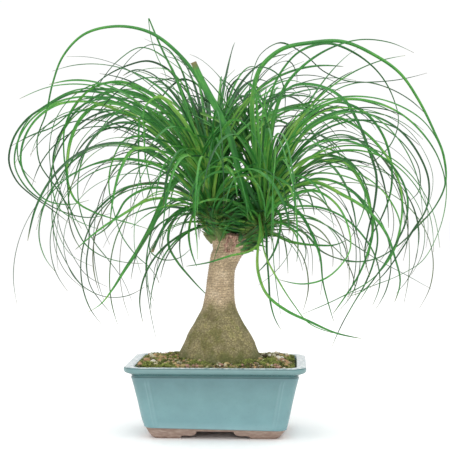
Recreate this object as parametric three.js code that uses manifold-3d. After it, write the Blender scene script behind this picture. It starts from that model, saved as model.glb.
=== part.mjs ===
// Ponytail palm in a shallow rectangular glazed pot. All sizes in millimetres, +Z up.
import * as THREE from 'three';
import { mergeVertices } from 'three/addons/utils/BufferGeometryUtils.js';
import Module from 'manifold-3d';

const wasm = await Module();
wasm.setup();

// ---- driving sizes ----
const seatGap = 0.35;
// the plant stands a little left of the pot's middle once the leaves are counted in the outline
const plantShift = [-8, -3];
const rimHalf = [101.5, 76];
const wallStep = 25.5;
const floorTop = 15;
const undersideZ = 9;
const bracketZ = 3.5;
// half the gap between two feet, above and below the bracket, under a long side and a short side
const longSideGap = [21, 39];
const shortSideGap = [12, 22];
// half length and half depth of the hollow under the floor
const hollowHalf = [58, 32];
const drainX = 36;
const drainRadius = 8;
const screenHalf = 17;
const screenThick = 1.2;
const screenHole = 6.6;
const screenPitch = 9.4;
const soilEdgeZ = 79.5;
const soilRise = 9;
const trunkSides = 16;
const keelDepth = 1.3;
const tipWidth = 1.3;
const leafGap = 2.5;
const footOffset = 8;
const neckShare = 0.45;
const freePerHead = 17;
// the eye point from which the leaf paths below were drawn
const eye = [86, -1498, 263];

// outer face of the pot: height, half length, corner radius
const potFace = [
  [0, 71, 9],
  [5, 74.6, 10],
  [9.6, 78, 11],
  [10.4, 79, 11.5],
  [24, 82.8, 12],
  [42, 86.6, 13],
  [58, 90.3, 14],
  [68.5, 93.4, 15],
  [71, 93.8, 15],
  [72.6, 98.6, 19],
  [75, 101.2, 21],
  [80, 101.5, 22],
  [82, 100.3, 21],
];
// inner face of the pot: height, half length, corner radius
const potInside = [
  [floorTop, 73, 8],
  [24, 76.2, 9],
  [42, 80.2, 10],
  [62, 84.8, 11],
  [76, 88.6, 12],
  [83, 89.6, 13],
];
// trunk outline: height, left edge, right edge
const trunkEdges = [
  [30, -10, 18],
  [38, -24, 32],
  [50, -36, 44],
  [66, -43, 51],
  [80, -44, 52],
  [89, -42, 50],
  [99, -38.5, 45.5],
  [110, -34.5, 39.5],
  [120, -29.5, 33],
  [130, -23.6, 27],
  [137, -20, 23.4],
  [144, -17, 21.2],
  [152, -15.4, 19.8],
  [163, -13.4, 19.2],
  [176, -11.8, 19.4],
  [189, -10, 20.6],
  [198, -8.8, 23],
  [206, -7, 25],
  [213, -2, 22],
];
// the two arms and the dried stub of a cut arm: path and radius at each point
const leftArm = [[[9, 0, 192], 14], [[5, 0, 212], 13], [[0, 0, 230], 12]];
const rightArm = [[[9, 0, 190], 13], [[19, 0, 208], 12], [[36, 0, 223], 11]];
const cutStub = [[[10, -2, 204], 10], [[15, -7, 218], 8], [[18, -10, 228], 7]];
// roots under the soil: heading in degrees, reach, end height
const rootRows = [
  [10, 66, 26],
  [75, 46, 22],
  [150, 62, 30],
  [200, 68, 22],
  [285, 44, 28],
  [330, 64, 20],
];
// leafy cores: the arm each one sits on, its length and its radius at the foot
const cores = {
  left: [leftArm, 34, 12],
  right: [rightArm, 32, 11],
};

// leaves that can be followed in the picture: head, width at the foot, how far the tip lies
// behind (+) or before (-) the head, and the path as seen from the eye point [across, up],
// with the share of the width that is left where a tip was cut
const drawnLeaves = [
  ['left', 7, -25, [[-12, 290], [-25, 337], [-38, 378], [-50, 409], [-66, 443], [-79, 474], [-76, 451],
    [-69, 430], [-60, 411], [-58, 397]]],
  ['left', 5, 40, [[-10, 295], [-20, 340], [-31, 382], [-44, 420], [-58, 439], [-76, 444], [-94, 434],
    [-108, 419], [-118, 403], [-127, 384]]],
  ['left', 5.5, 90, [[-12, 296], [-24, 342], [-38, 385], [-56, 415], [-78, 425], [-104, 420], [-130, 407],
    [-152, 388], [-169, 365], [-179, 343], [-185, 322]]],
  ['left', 4, -60, [[-14, 290], [-28, 335], [-42, 380], [-58, 402], [-80, 406], [-104, 398], [-126, 380],
    [-144, 356]]],
  ['left', 8.5, -95, [[-14, 285], [-34, 330], [-58, 370], [-86, 393], [-116, 401], [-142, 395],
    [-163, 376], [-176, 348], [-177, 320], [-173, 290], [-171, 262], [-164, 237], [-152, 215],
    [-134, 202], [-110, 195], [-86, 193]]],
  ['left', 9, -60, [[-18, 284], [-44, 325], [-74, 356], [-106, 374], [-136, 376], [-156, 361],
    [-168, 338], [-173, 310], [-172, 284], [-163, 265], [-142, 252], [-118, 244], [-96, 238],
    [-78, 232]]],
  ['left', 6, 30, [[-24, 290], [-58, 336], [-96, 370], [-134, 389], [-166, 389], [-196, 375], [-221, 358],
    [-237, 334], [-241, 310], [-232, 288], [-214, 271], [-194, 257], [-172, 240]]],
  ['left', 5.5, -35, [[-22, 286], [-52, 328], [-88, 362], [-124, 380], [-160, 384], [-192, 375],
    [-217, 356], [-231, 332], [-234, 306], [-222, 282], [-200, 264], [-174, 251], [-148, 246],
    [-122, 251]]],
  ['left', 6, -80, [[-20, 280], [-48, 318], [-82, 350], [-118, 370], [-154, 379], [-186, 375],
    [-210, 358], [-224, 334], [-227, 308], [-216, 284], [-196, 265], [-172, 261], [-148, 266]]],
  ['left', 6, 130, [[-16, 286], [-36, 332], [-62, 368], [-92, 388], [-122, 391], [-148, 380], [-170, 360],
    [-185, 334], [-190, 310], [-184, 284], [-175, 260], [-167, 240]]],
  ['left', 8, -110, [[-12, 290], [-26, 334], [-46, 366], [-68, 384], [-82, 374], [-84, 342], [-82, 310],
    [-76, 278], [-70, 252]]],
  ['left', 7, -130, [[-22, 278], [-48, 314], [-80, 338], [-106, 335], [-121, 310], [-125, 285],
    [-120, 255], [-109, 223], [-94, 203], [-76, 186], [-67, 171]]],
  ['left', 8, -150, [[-20, 270], [-44, 300], [-76, 325], [-98, 323], [-111, 303], [-118, 280],
    [-122, 258], [-124, 240]]],
  ['left', 5.5, 70, [[-22, 280], [-50, 316], [-84, 342], [-118, 349], [-146, 338], [-166, 314],
    [-182, 284], [-191, 252], [-187, 222], [-174, 193], [-154, 166], [-130, 155], [-104, 156],
    [-84, 166]]],
  ['left', 5, -40, [[-20, 272], [-48, 302], [-82, 322], [-116, 330], [-146, 325], [-172, 305],
    [-190, 279], [-203, 250], [-206, 222], [-199, 199], [-186, 182]]],
  ['left', 6.5, -125, [[-24, 272], [-54, 298], [-88, 311], [-122, 312], [-152, 303], [-176, 289],
    [-196, 268], [-208, 245]]],
  ['left', 6, 120, [[-24, 266], [-50, 282], [-80, 285], [-108, 278], [-131, 262], [-146, 243],
    [-148, 218], [-151, 190], [-146, 166], [-136, 151], [-125, 138]]],
  ['left', 11, -75, [[-18, 274], [-36, 297], [-54, 282], [-65, 260], [-76, 236], [-92, 208], [-108, 184],
    [-122, 162], [-136, 145], [-149, 137]]],
  ['left', 6.5, 60, [[-20, 284], [-50, 328], [-86, 352], [-122, 352], [-146, 332], [-158, 304],
    [-161, 274], [-156, 247], [-142, 218], [-124, 195], [-108, 172], [-99, 150]]],
  ['left', 6.5, -160, [[-24, 256], [-52, 267], [-82, 265], [-108, 250], [-136, 232], [-164, 209]]],
  ['left', 6, 160, [[-26, 252], [-56, 258], [-86, 254], [-112, 240], [-124, 226], [-132, 211]]],
  ['left', 6, -100, [[-24, 262], [-54, 277], [-84, 278], [-106, 265], [-118, 245], [-130, 232],
    [-146, 222]]],
  ['left', 6, 100, [[-20, 260], [-42, 266], [-62, 254], [-76, 228], [-82, 196], [-81, 164], [-77, 136],
    [-71, 108]]],
  ['left', 7, -70, [[-18, 254], [-38, 256], [-55, 244], [-66, 226], [-75, 206]], 0.7],
  ['left', 5, -120, [[-16, 252], [-36, 254], [-52, 242], [-62, 222], [-67, 200], [-70, 180], [-68, 171]]],
  ['left', 5.5, -45, [[-16, 250], [-27, 248], [-33, 230], [-31, 210], [-24, 190]]],
  ['left', 9, -85, [[-12, 276], [-22, 290], [-27, 270], [-27, 244], [-24, 220], [-23, 198]]],
  ['left', 6, 60, [[-18, 252], [-38, 254], [-54, 236], [-56, 214], [-46, 195], [-32, 178], [-18, 163],
    [-4, 150]]],
  ['left', 8.5, -55, [[-16, 278], [-21, 304], [-10, 334], [4, 352], [20, 378], [37, 399], [48, 385],
    [59, 366], [64, 344]]],
  ['left', 4, -140, [[-22, 262], [-50, 276], [-76, 272], [-92, 252], [-96, 226], [-94, 202], [-88, 181]]],
  ['left', 4.5, -30, [[-20, 256], [-44, 262], [-64, 250], [-77, 226], [-77, 207], [-64, 198], [-46, 199],
    [-30, 211]]],
  ['left', 4.5, 150, [[-16, 282], [-40, 322], [-70, 352], [-100, 366], [-126, 362], [-148, 345],
    [-164, 322], [-172, 296]]],
  ['left', 4, -120, [[-18, 286], [-44, 330], [-76, 362], [-110, 382], [-140, 381], [-166, 369],
    [-190, 350], [-214, 341], [-239, 328]]],
  ['left', 4, 110, [[-22, 276], [-54, 312], [-92, 338], [-130, 350], [-162, 346], [-186, 331],
    [-203, 310], [-215, 281]]],
  ['left', 8, 90, [[-6, 290], [-8, 330], [-13, 370], [-24, 398], [-40, 404], [-58, 392], [-70, 372],
    [-76, 348]]],
  ['left', 8.5, -90, [[-16, 276], [-34, 318], [-54, 352], [-78, 371], [-104, 372], [-126, 358],
    [-140, 336]]],
  ['left', 6, 60, [[2, 285], [8, 325], [12, 362], [13, 392], [24, 404], [36, 397], [44, 380]]],
  ['left', 4.5, -80, [[2, 290], [4, 335], [7, 372], [14, 400], [34, 414], [54, 417], [70, 408], [77, 386],
    [76, 362]]],
  ['right', 5, 70, [[44, 290], [40, 335], [36, 375], [40, 410], [50, 433], [72, 445], [98, 433],
    [122, 412], [150, 401], [180, 400], [210, 403], [238, 410]]],
  ['right', 7.5, -30, [[45, 290], [42, 335], [40, 378], [50, 418], [72, 437], [106, 445], [142, 446],
    [176, 432], [206, 411], [228, 380], [245, 346], [257, 316], [259, 285], [247, 258], [228, 236],
    [204, 213], [180, 199], [150, 196], [122, 206]]],
  ['right', 7, 110, [[46, 290], [50, 335], [58, 374], [72, 410], [96, 436], [126, 444], [158, 432],
    [184, 410], [200, 382], [206, 356], [199, 332], [182, 313], [166, 303]]],
  ['right', 7.5, -60, [[50, 288], [58, 330], [65, 364], [80, 400], [104, 424], [132, 440], [162, 448],
    [194, 445], [223, 433]]],
  ['right', 4.5, 140, [[54, 285], [66, 324], [88, 362], [116, 390], [150, 400], [186, 396], [218, 380],
    [240, 360]]],
  ['right', 5.5, 50, [[54, 282], [70, 325], [96, 361], [130, 380], [168, 383], [204, 374], [234, 355],
    [252, 328], [259, 296], [259, 262], [250, 227], [232, 196], [206, 180], [176, 168], [141, 155]]],
  ['right', 7, -100, [[56, 278], [76, 322], [104, 361], [138, 379], [174, 378], [206, 365], [234, 340],
    [252, 310], [258, 282], [246, 257], [228, 238]]],
  ['right', 5.5, -130, [[56, 274], [78, 315], [108, 352], [142, 366], [176, 362], [206, 346], [228, 319],
    [240, 288], [238, 258], [222, 230], [206, 204], [190, 182], [174, 166]]],
  ['right', 4, 160, [[60, 274], [84, 315], [116, 348], [152, 358], [188, 348], [216, 325], [230, 298],
    [228, 274], [213, 262]]],
  ['right', 7.5, -90, [[56, 270], [76, 304], [102, 345], [132, 360], [160, 348], [186, 324], [203, 296],
    [210, 264], [207, 232], [196, 200], [178, 176], [163, 152]]],
  ['right', 8, -120, [[47, 288], [52, 330], [62, 372], [88, 396], [118, 395], [146, 378], [160, 354],
    [172, 324], [181, 292], [179, 262], [172, 232], [168, 200], [174, 178]]],
  ['right', 7.5, 90, [[54, 282], [74, 328], [104, 364], [136, 377], [168, 365], [188, 340], [198, 306],
    [197, 274], [186, 244], [174, 222], [168, 205]]],
  ['right', 5.5, -150, [[58, 268], [80, 302], [110, 329], [142, 334], [176, 322], [202, 301], [216, 270],
    [214, 240], [202, 214], [184, 184], [164, 161], [148, 156]]],
  ['right', 5, 120, [[58, 266], [80, 304], [108, 328], [136, 320], [160, 300], [172, 272], [176, 242],
    [174, 212], [168, 186]]],
  ['right', 6.5, -100, [[58, 262], [80, 296], [110, 315], [142, 312], [162, 292], [168, 266], [160, 238],
    [150, 220]]],
  ['right', 8, -60, [[60, 262], [84, 290], [114, 309], [146, 308], [164, 286], [174, 258], [177, 232],
    [171, 204], [160, 178], [146, 156], [132, 136]]],
  ['right', 7, 60, [[58, 256], [80, 282], [112, 296], [144, 293], [170, 284], [188, 281]]],
  ['right', 8.5, -125, [[58, 254], [80, 275], [110, 286], [142, 272], [172, 253], [192, 228], [202, 200],
    [208, 172], [202, 150]]],
  ['right', 7, -160, [[58, 250], [82, 270], [112, 276], [136, 260], [149, 234], [151, 210], [140, 191],
    [122, 176], [98, 170], [70, 175]]],
  ['right', 5, 170, [[58, 250], [78, 265], [98, 266], [118, 252], [136, 236]]],
  ['right', 8, -100, [[56, 250], [74, 262], [92, 253], [108, 228], [118, 200], [121, 172], [127, 148],
    [133, 127]]],
  ['right', 5.5, 80, [[60, 246], [84, 257], [112, 258], [142, 247], [166, 225], [181, 198], [185, 170],
    [177, 146]]],
  ['right', 5, 20, [[60, 244], [88, 250], [122, 238], [154, 216], [184, 197], [214, 181], [243, 165]]],
  ['right', 6, -80, [[60, 240], [80, 236], [95, 223], [101, 206], [98, 192]]],
  ['right', 7.5, -40, [[60, 228], [84, 218], [114, 214], [136, 215], [149, 221]]],
  ['right', 6, 110, [[60, 240], [84, 237], [104, 224], [118, 208], [138, 199], [160, 196]]],
  ['right', 8, -110, [[49, 246], [50, 236], [47, 212], [47, 184], [57, 158], [80, 139], [108, 126],
    [136, 114], [164, 108]]],
  ['right', 7, -80, [[53, 246], [56, 232], [57, 206], [59, 176], [61, 148], [66, 130], [73, 117]]],
  ['right', 6, -140, [[48, 250], [50, 232], [55, 204], [70, 174], [88, 146], [104, 126], [132, 114]]],
  ['right', 6.5, -60, [[60, 258], [71, 250], [71, 228], [62, 202], [46, 183]]],
  ['right', 4, 60, [[64, 262], [84, 260], [87, 234], [82, 206], [66, 184], [46, 168]]],
  ['right', 8.5, -40, [[38, 256], [26, 280], [13, 297], [-6, 296], [-20, 284], [-27, 270]]],
  ['right', 7, -40, [[35, 264], [22, 308], [8, 350], [-14, 390], [-40, 428], [-78, 458], [-118, 465],
    [-154, 456], [-178, 431], [-190, 400], [-198, 365], [-208, 336], [-205, 308], [-186, 280],
    [-170, 255], [-157, 233]]],
  ['right', 9.5, -75, [[36, 262], [26, 296], [14, 340], [-2, 374], [-16, 400], [-27, 424]], 0.8],
  ['right', 5, -45, [[36, 252], [24, 253], [10, 234], [0, 210], [-6, 190]]],
  ['right', 5.5, -70, [[48, 240], [51, 222], [38, 208], [14, 202], [-12, 194], [-36, 190]]],
  ['right', 4, -100, [[48, 290], [50, 330], [52, 368], [62, 395], [80, 402], [98, 398], [106, 388],
    [98, 379], [82, 372]]],
  ['right', 5, 30, [[44, 292], [40, 340], [40, 378], [48, 407], [66, 421], [82, 424], [90, 410],
    [90, 394]]],
  ['right', 9, 40, [[42, 280], [36, 320], [32, 358], [34, 388], [46, 395], [52, 376], [54, 350]]],
  ['right', 8, -60, [[46, 284], [48, 320], [46, 356], [44, 386], [52, 372], [60, 346]]],
  ['right', 6, 100, [[58, 258], [84, 280], [116, 290], [148, 280], [172, 256], [182, 226], [178, 196],
    [168, 170], [154, 146], [142, 124], [131, 99]]],
  ['right', 4.5, -60, [[60, 262], [92, 292], [130, 304], [168, 292], [196, 266], [208, 236], [200, 206],
    [176, 176], [142, 156], [98, 136]]],
];

// ---- small helpers ----
const add = (a, b) => [a[0] + b[0], a[1] + b[1], a[2] + b[2]];
const sub = (a, b) => [a[0] - b[0], a[1] - b[1], a[2] - b[2]];
const times = (a, k) => [a[0] * k, a[1] * k, a[2] * k];
const dot = (a, b) => a[0] * b[0] + a[1] * b[1] + a[2] * b[2];
const cross = (a, b) => [
  a[1] * b[2] - a[2] * b[1],
  a[2] * b[0] - a[0] * b[2],
  a[0] * b[1] - a[1] * b[0],
];
const size = (a) => Math.sqrt(dot(a, a));
const unit = (a) => times(a, 1 / size(a));
const between = (a, b, k) => add(a, times(sub(b, a), k));
const radians = (deg) => (deg * Math.PI) / 180;

// each core goes on straight from the end of its arm
const heads = {};
for (const [name, [arm, length, width]] of Object.entries(cores)) {
  const foot = arm[2][0];
  const ahead = unit(sub(foot, arm[1][0]));
  heads[name] = { foot, end: add(foot, times(ahead, length)), width };
}

let seed = 20417;
function draw(low, high) {
  seed = (seed * 1664525 + 1013904223) % 4294967296;
  return low + ((high - low) * seed) / 4294967296;
}

// a closed body from rings of equal point count, capped at both ends
function skin(rings) {
  const count = rings[0].length;
  const points = rings.flat(2);
  const faces = [];
  for (let r = 0; r + 1 < rings.length; r += 1) {
    for (let k = 0; k < count; k += 1) {
      const a = r * count + k;
      const b = r * count + ((k + 1) % count);
      faces.push(a, b, b + count, a, b + count, a + count);
    }
  }
  const top = (rings.length - 1) * count;
  for (let k = 1; k + 1 < count; k += 1) {
    faces.push(0, k + 1, k);
    faces.push(top, top + k, top + k + 1);
  }
  let volume = 0;
  for (let f = 0; f < faces.length; f += 3) {
    const [a, b, c] = [0, 1, 2].map((k) => points.slice(faces[f + k] * 3, faces[f + k] * 3 + 3));
    volume += dot(a, cross(b, c));
  }
  if (volume < 0) faces.reverse();
  const mesh = new wasm.Mesh({
    numProp: 3,
    vertProperties: new Float32Array(points),
    triVerts: new Uint32Array(faces),
  });
  return new wasm.Manifold(mesh);
}

function joined(bodies) {
  let whole = bodies[0];
  for (const body of bodies.slice(1)) whole = whole.add(body);
  return whole;
}

// the outer skin of a body, with the small closed pockets between crossing leaves filled
function filled(body) {
  const shells = body.decompose();
  return shells.reduce((best, shell) => (shell.volume() > best.volume() ? shell : best));
}

// a rounded rectangle at height z
function roundedRing(halfX, halfY, radius, z, perCorner) {
  const ring = [];
  const corners = [[1, 1, 0], [-1, 1, 90], [-1, -1, 180], [1, -1, 270]];
  for (const [sx, sy, start] of corners) {
    for (let k = 0; k <= perCorner; k += 1) {
      const turn = radians(start + (90 * k) / perCorner);
      const x = sx * (halfX - radius) + radius * Math.cos(turn);
      const y = sy * (halfY - radius) + radius * Math.sin(turn);
      ring.push([x, y, z]);
    }
  }
  return ring;
}

// the pot's outer ring: rounded corner posts with a flat panel sunk slightly between them
function potRing(halfX, radius, z) {
  const halfY = halfX - wallStep;
  const sunk = z > 12 && z < 69 ? 1.3 : 0;
  const arc = roundedRing(halfX, halfY, radius, z, 4);
  const ring = [];
  const post = radius + 1.5;
  const panel = radius + 5;
  const edge = (x1, y1, x2, y2) => ring.push([x1, y1, z], [x2, y2, z]);
  ring.push(...arc.slice(0, 5));
  edge(halfX - post, halfY, halfX - panel, halfY - sunk);
  edge(panel - halfX, halfY - sunk, post - halfX, halfY);
  ring.push(...arc.slice(5, 10));
  edge(-halfX, halfY - post, sunk - halfX, halfY - panel);
  edge(sunk - halfX, panel - halfY, -halfX, post - halfY);
  ring.push(...arc.slice(10, 15));
  edge(post - halfX, -halfY, panel - halfX, sunk - halfY);
  edge(halfX - panel, sunk - halfY, halfX - post, -halfY);
  ring.push(...arc.slice(15, 20));
  edge(halfX, post - halfY, halfX - sunk, panel - halfY);
  edge(halfX - sunk, halfY - panel, halfX, halfY - post);
  return ring;
}

function block(halfX, halfY, low, high) {
  const ring = (z) => [[halfX, halfY, z], [-halfX, halfY, z], [-halfX, -halfY, z], [halfX, -halfY, z]];
  return skin([ring(low), ring(high)]);
}

function disc(x, y, radius, low, high, sides) {
  const ring = (z) => {
    const points = [];
    for (let k = 0; k < sides; k += 1) {
      const turn = (2 * Math.PI * k) / sides;
      points.push([x + radius * Math.cos(turn), y + radius * Math.sin(turn), z]);
    }
    return points;
  };
  return skin([ring(low), ring(high)]);
}

// a round branch along a path, its rings square to the path
function branch(stations, grow, sides) {
  const path = stations.map(([point]) => point);
  const last = path.length - 1;
  const whole = unit(sub(path[last], path[0]));
  const level = Math.abs(whole[2]) < 0.7 ? [0, 0, 1] : [0, 1, 0];
  const rings = stations.map(([point, radius], k) => {
    const ahead = unit(sub(path[Math.min(k + 1, last)], path[Math.max(k - 1, 0)]));
    const across = unit(cross(ahead, level));
    const up = cross(across, ahead);
    const ring = [];
    for (let j = 0; j < sides; j += 1) {
      const turn = (2 * Math.PI * j) / sides;
      const out = add(times(across, Math.cos(turn)), times(up, Math.sin(turn)));
      ring.push(add(point, times(out, radius + grow)));
    }
    return ring;
  });
  return skin(rings);
}

// ---- pot ----
function makePot() {
  let pot = skin(potFace.map(([z, halfX, radius]) => potRing(halfX, radius, z)));
  const inside = (z, halfX, radius) => roundedRing(halfX, halfX - wallStep, radius, z, 4);
  pot = pot.subtract(skin(potInside.map(([z, halfX, radius]) => inside(z, halfX, radius))));
  // four corner feet with a stepped bracket towards the middle of each side
  const [reachX, reachY] = rimHalf;
  for (const [row, high] of [[0, undersideZ], [1, bracketZ]]) {
    pot = pot.subtract(block(longSideGap[row], reachY, -1, high));
    pot = pot.subtract(block(reachX, shortSideGap[row], -1, high));
  }
  pot = pot.subtract(block(...hollowHalf, -1, undersideZ));
  for (const side of [-1, 1]) {
    pot = pot.subtract(disc(side * drainX, 0, drainRadius, 5, floorTop + 3, 20));
  }
  return pot;
}

// ---- mesh squares over the drain holes ----
function makeScreen(side) {
  const low = floorTop + seatGap;
  const high = low + screenThick;
  let screen = block(screenHalf, screenHalf, low, high);
  const half = screenHole / 2;
  for (let row = -1; row <= 1; row += 1) {
    for (let column = -1; column <= 1; column += 1) {
      const hole = block(half, half, low - 1, high + 1);
      screen = screen.subtract(hole.translate([column * screenPitch, row * screenPitch, 0]));
    }
  }
  return screen.translate([side * drainX, 0, 0]);
}

// ---- trunk ----
function trunkRing([z, left, right], grow) {
  const middle = (left + right) / 2;
  const half = (right - left) / 2;
  const ring = [];
  for (let k = 0; k < trunkSides; k += 1) {
    const turn = (2 * Math.PI * k) / trunkSides;
    const swell = 1 + 0.025 * Math.sin(3 * turn + z / 23) + 0.015 * Math.sin(5 * turn - z / 11);
    const reach = half * (z < 150 ? swell : 1) + grow;
    ring.push([middle + reach * Math.cos(turn), reach * 0.96 * Math.sin(turn), z]);
  }
  return ring;
}

function trunkBody(grow) {
  const rings = trunkEdges.map((row) => trunkRing(row, grow));
  if (grow > 0) rings.unshift(rings[0].map(([x, y, z]) => [x, y, z - grow]));
  return skin(rings);
}

function rootBodies(grow) {
  return rootRows.map(([heading, reach, endZ]) => {
    const out = [Math.cos(radians(heading)), Math.sin(radians(heading))];
    const at = (share, z) => [4 + out[0] * reach * share, out[1] * reach * share, z];
    const tip = 1 + grow / reach;
    return branch(
      [[at(0.15, 52), 9], [at(0.5, 44), 7], [at(0.78, (44 + endZ) / 2), 4.5], [at(tip, endZ), 2.2]],
      grow,
      7,
    );
  });
}

function makeTrunk() {
  const arms = [branch(leftArm, 0, 12), branch(rightArm, 0, 12), branch(cutStub, 0, 9)];
  return joined([trunkBody(0), ...rootBodies(0), ...arms]);
}

// ---- soil with gravel and moss ----
function soilHeight(x, y, share) {
  const mound = soilRise * (1 - share) ** 0.7;
  const swell = 1.1 * Math.sin(x * 0.21 + 1.2 * Math.sin(y * 0.17));
  const grit = 0.9 * Math.sin(x * 0.83 + y * 0.37) * Math.cos(y * 0.71 - x * 0.29);
  return soilEdgeZ + mound + (swell + grit) * (share > 0.99 ? 0.3 : 1);
}

// the soil's outline, with extra points along its sides for the uneven top
function soilRing(halfX, radius, z) {
  const arc = roundedRing(halfX, halfX - wallStep, radius, z, 2);
  const ring = [];
  for (let side = 0; side < 4; side += 1) {
    const corner = arc.slice(side * 3, side * 3 + 3);
    const next = arc[(side * 3 + 3) % 12];
    const parts = side % 2 === 0 ? 8 : 5;
    ring.push(...corner);
    for (let k = 1; k < parts; k += 1) ring.push(between(corner[2], next, k / parts));
  }
  return ring;
}

function makeSoil() {
  const rings = [];
  const low = floorTop + seatGap;
  for (const [z, halfX, radius] of potInside.slice(0, 5)) {
    rings.push(soilRing(halfX - seatGap, radius, Math.max(z, low)));
  }
  const rim = soilRing(89 - seatGap, 12, 0);
  for (const share of [1, 0.93, 0.85, 0.77, 0.69, 0.6, 0.5]) {
    rings.push(rim.map(([x, y]) => [x * share, y * share, soilHeight(x * share, y * share, share)]));
  }
  let soil = skin(rings);
  soil = soil.subtract(joined([trunkBody(seatGap), ...rootBodies(seatGap)]));
  // the mesh squares lie in the soil's underside
  const pocket = screenHalf + seatGap;
  for (const side of [-1, 1]) {
    const room = block(pocket, pocket, 0, floorTop + screenThick + 2 * seatGap);
    soil = soil.subtract(room.translate([side * drainX, 0, 0]));
  }
  return soil;
}

// ---- leaves ----
function sightPoint(x, z, depth) {
  const k = (depth - eye[1]) / -eye[1];
  return [eye[0] + (x - eye[0]) * k, depth, eye[2] + (z - eye[2]) * k];
}

function coreAt(head, share) {
  return between(heads[head].foot, heads[head].end, share);
}

// where a leaf leaves the core: upright leaves high, hanging leaves low, each on its own side
function leafFoot(head, way) {
  const rise = Math.max(0, Math.min(1, way[2]));
  const spot = coreAt(head, 0.2 + 0.65 * rise);
  return add(spot, times([way[0], way[1], 0], footOffset));
}

function drawnPath(head, reach, marks) {
  const first = sub([marks[0][0], reach * 0.16, marks[0][1]], coreAt(head, 0.5));
  const foot = leafFoot(head, unit(first));
  const flat = [[foot[0], foot[2]], ...marks];
  const run = [0];
  for (let k = 1; k < flat.length; k += 1) {
    run.push(run[k - 1] + Math.hypot(flat[k][0] - flat[k - 1][0], flat[k][1] - flat[k - 1][1]));
  }
  const total = run[run.length - 1];
  return flat.map(([x, z], k) => {
    return sightPoint(x, z, foot[1] + (reach - foot[1]) * (1 - (1 - run[k] / total) ** 1.7));
  });
}

function freePath(head, heading, rise, fall, length, sway) {
  const steps = Math.max(5, Math.round(length / 36));
  const level = Math.cos(radians(rise));
  const way = [level * Math.cos(radians(heading)), level * Math.sin(radians(heading))];
  let point = leafFoot(head, [...way, Math.sin(radians(rise))]);
  const path = [point];
  for (let k = 0; k < steps; k += 1) {
    const share = (k + 0.5) / steps;
    const tilt = radians(rise + (fall - rise) * share ** 1.25);
    const turn = radians(heading + sway * share);
    const flat = Math.cos(tilt);
    const step = [flat * Math.cos(turn), flat * Math.sin(turn), Math.sin(tilt)];
    point = add(point, times(step, length / steps));
    path.push(point);
  }
  return path;
}

function leafWidth(leaf, share) {
  const left = leaf.end > 0 ? 1 - (1 - leaf.end) * share : (1 - share) ** 0.62;
  const neck = Math.min(1, neckShare + share * 5);
  return Math.max(tipWidth, leaf.wide * left * neck);
}

// shortest distance between two straight spans
function spanGap(a, b, c, d) {
  const u = sub(b, a);
  const v = sub(d, c);
  const w = sub(a, c);
  const uu = dot(u, u);
  const uv = dot(u, v);
  const vv = dot(v, v);
  const uw = dot(u, w);
  const vw = dot(v, w);
  const den = uu * vv - uv * uv;
  let s = den > 1e-9 ? Math.max(0, Math.min(1, (uv * vw - vv * uw) / den)) : 0;
  let t = (uv * s + vw) / vv;
  if (t < 0 || t > 1) {
    t = Math.max(0, Math.min(1, t));
    s = Math.max(0, Math.min(1, (uv * t - uw) / uu));
  }
  return size(sub(add(a, times(u, s)), add(c, times(v, t))));
}

const woodSpans = [
  [[4, 0, 80], [4, 0, 108], 46],
  [[3, 0, 100], [2, 0, 128], 37],
  [[2, 0, 125], [2, 0, 150], 24],
  [[3, 0, 145], [5, 0, 195], 17],
  [leftArm[0][0], leftArm[2][0], 14],
  [rightArm[0][0], rightArm[1][0], 14],
  [rightArm[1][0], rightArm[2][0], 12],
  [cutStub[0][0], cutStub[2][0], 9],
];

function leavesMeet(one, two) {
  for (let i = 0; i + 1 < one.path.length; i += 1) {
    const wideOne = leafWidth(one, i / (one.path.length - 1));
    for (let j = 0; j + 1 < two.path.length; j += 1) {
      const room = (wideOne + leafWidth(two, j / (two.path.length - 1))) / 2 + leafGap;
      const gap = spanGap(one.path[i], one.path[i + 1], two.path[j], two.path[j + 1]);
      if (gap < room) return true;
    }
  }
  return false;
}

function leafFits(leaf, others) {
  const otherHead = leaf.head === 'left' ? 'right' : 'left';
  const path = leaf.path;
  for (let k = 0; k + 1 < path.length; k += 1) {
    if (path[k + 1][2] < 95) return false;
    const wide = leafWidth(leaf, k / (path.length - 1)) / 2;
    const core = spanGap(path[k], path[k + 1], heads[otherHead].foot, heads[otherHead].end);
    if (core < 16 + wide) return false;
    for (const [a, b, radius] of k === 0 ? [] : woodSpans) {
      if (spanGap(path[k], path[k + 1], a, b) < radius + wide + 2) return false;
    }
  }
  return others.every((other) => other.head === leaf.head || !leavesMeet(leaf, other));
}

// free leaves keep the outline of the crown and leave the trunk in sight
function staysInside(path) {
  return path.every(([x, y, z]) => {
    if (x < -222 || x > 238 || Math.abs(y) > 222 || z > 404) return false;
    if (z < 236 && x > -46 && x < 70) return false;
    return z > 120;
  });
}

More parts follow.
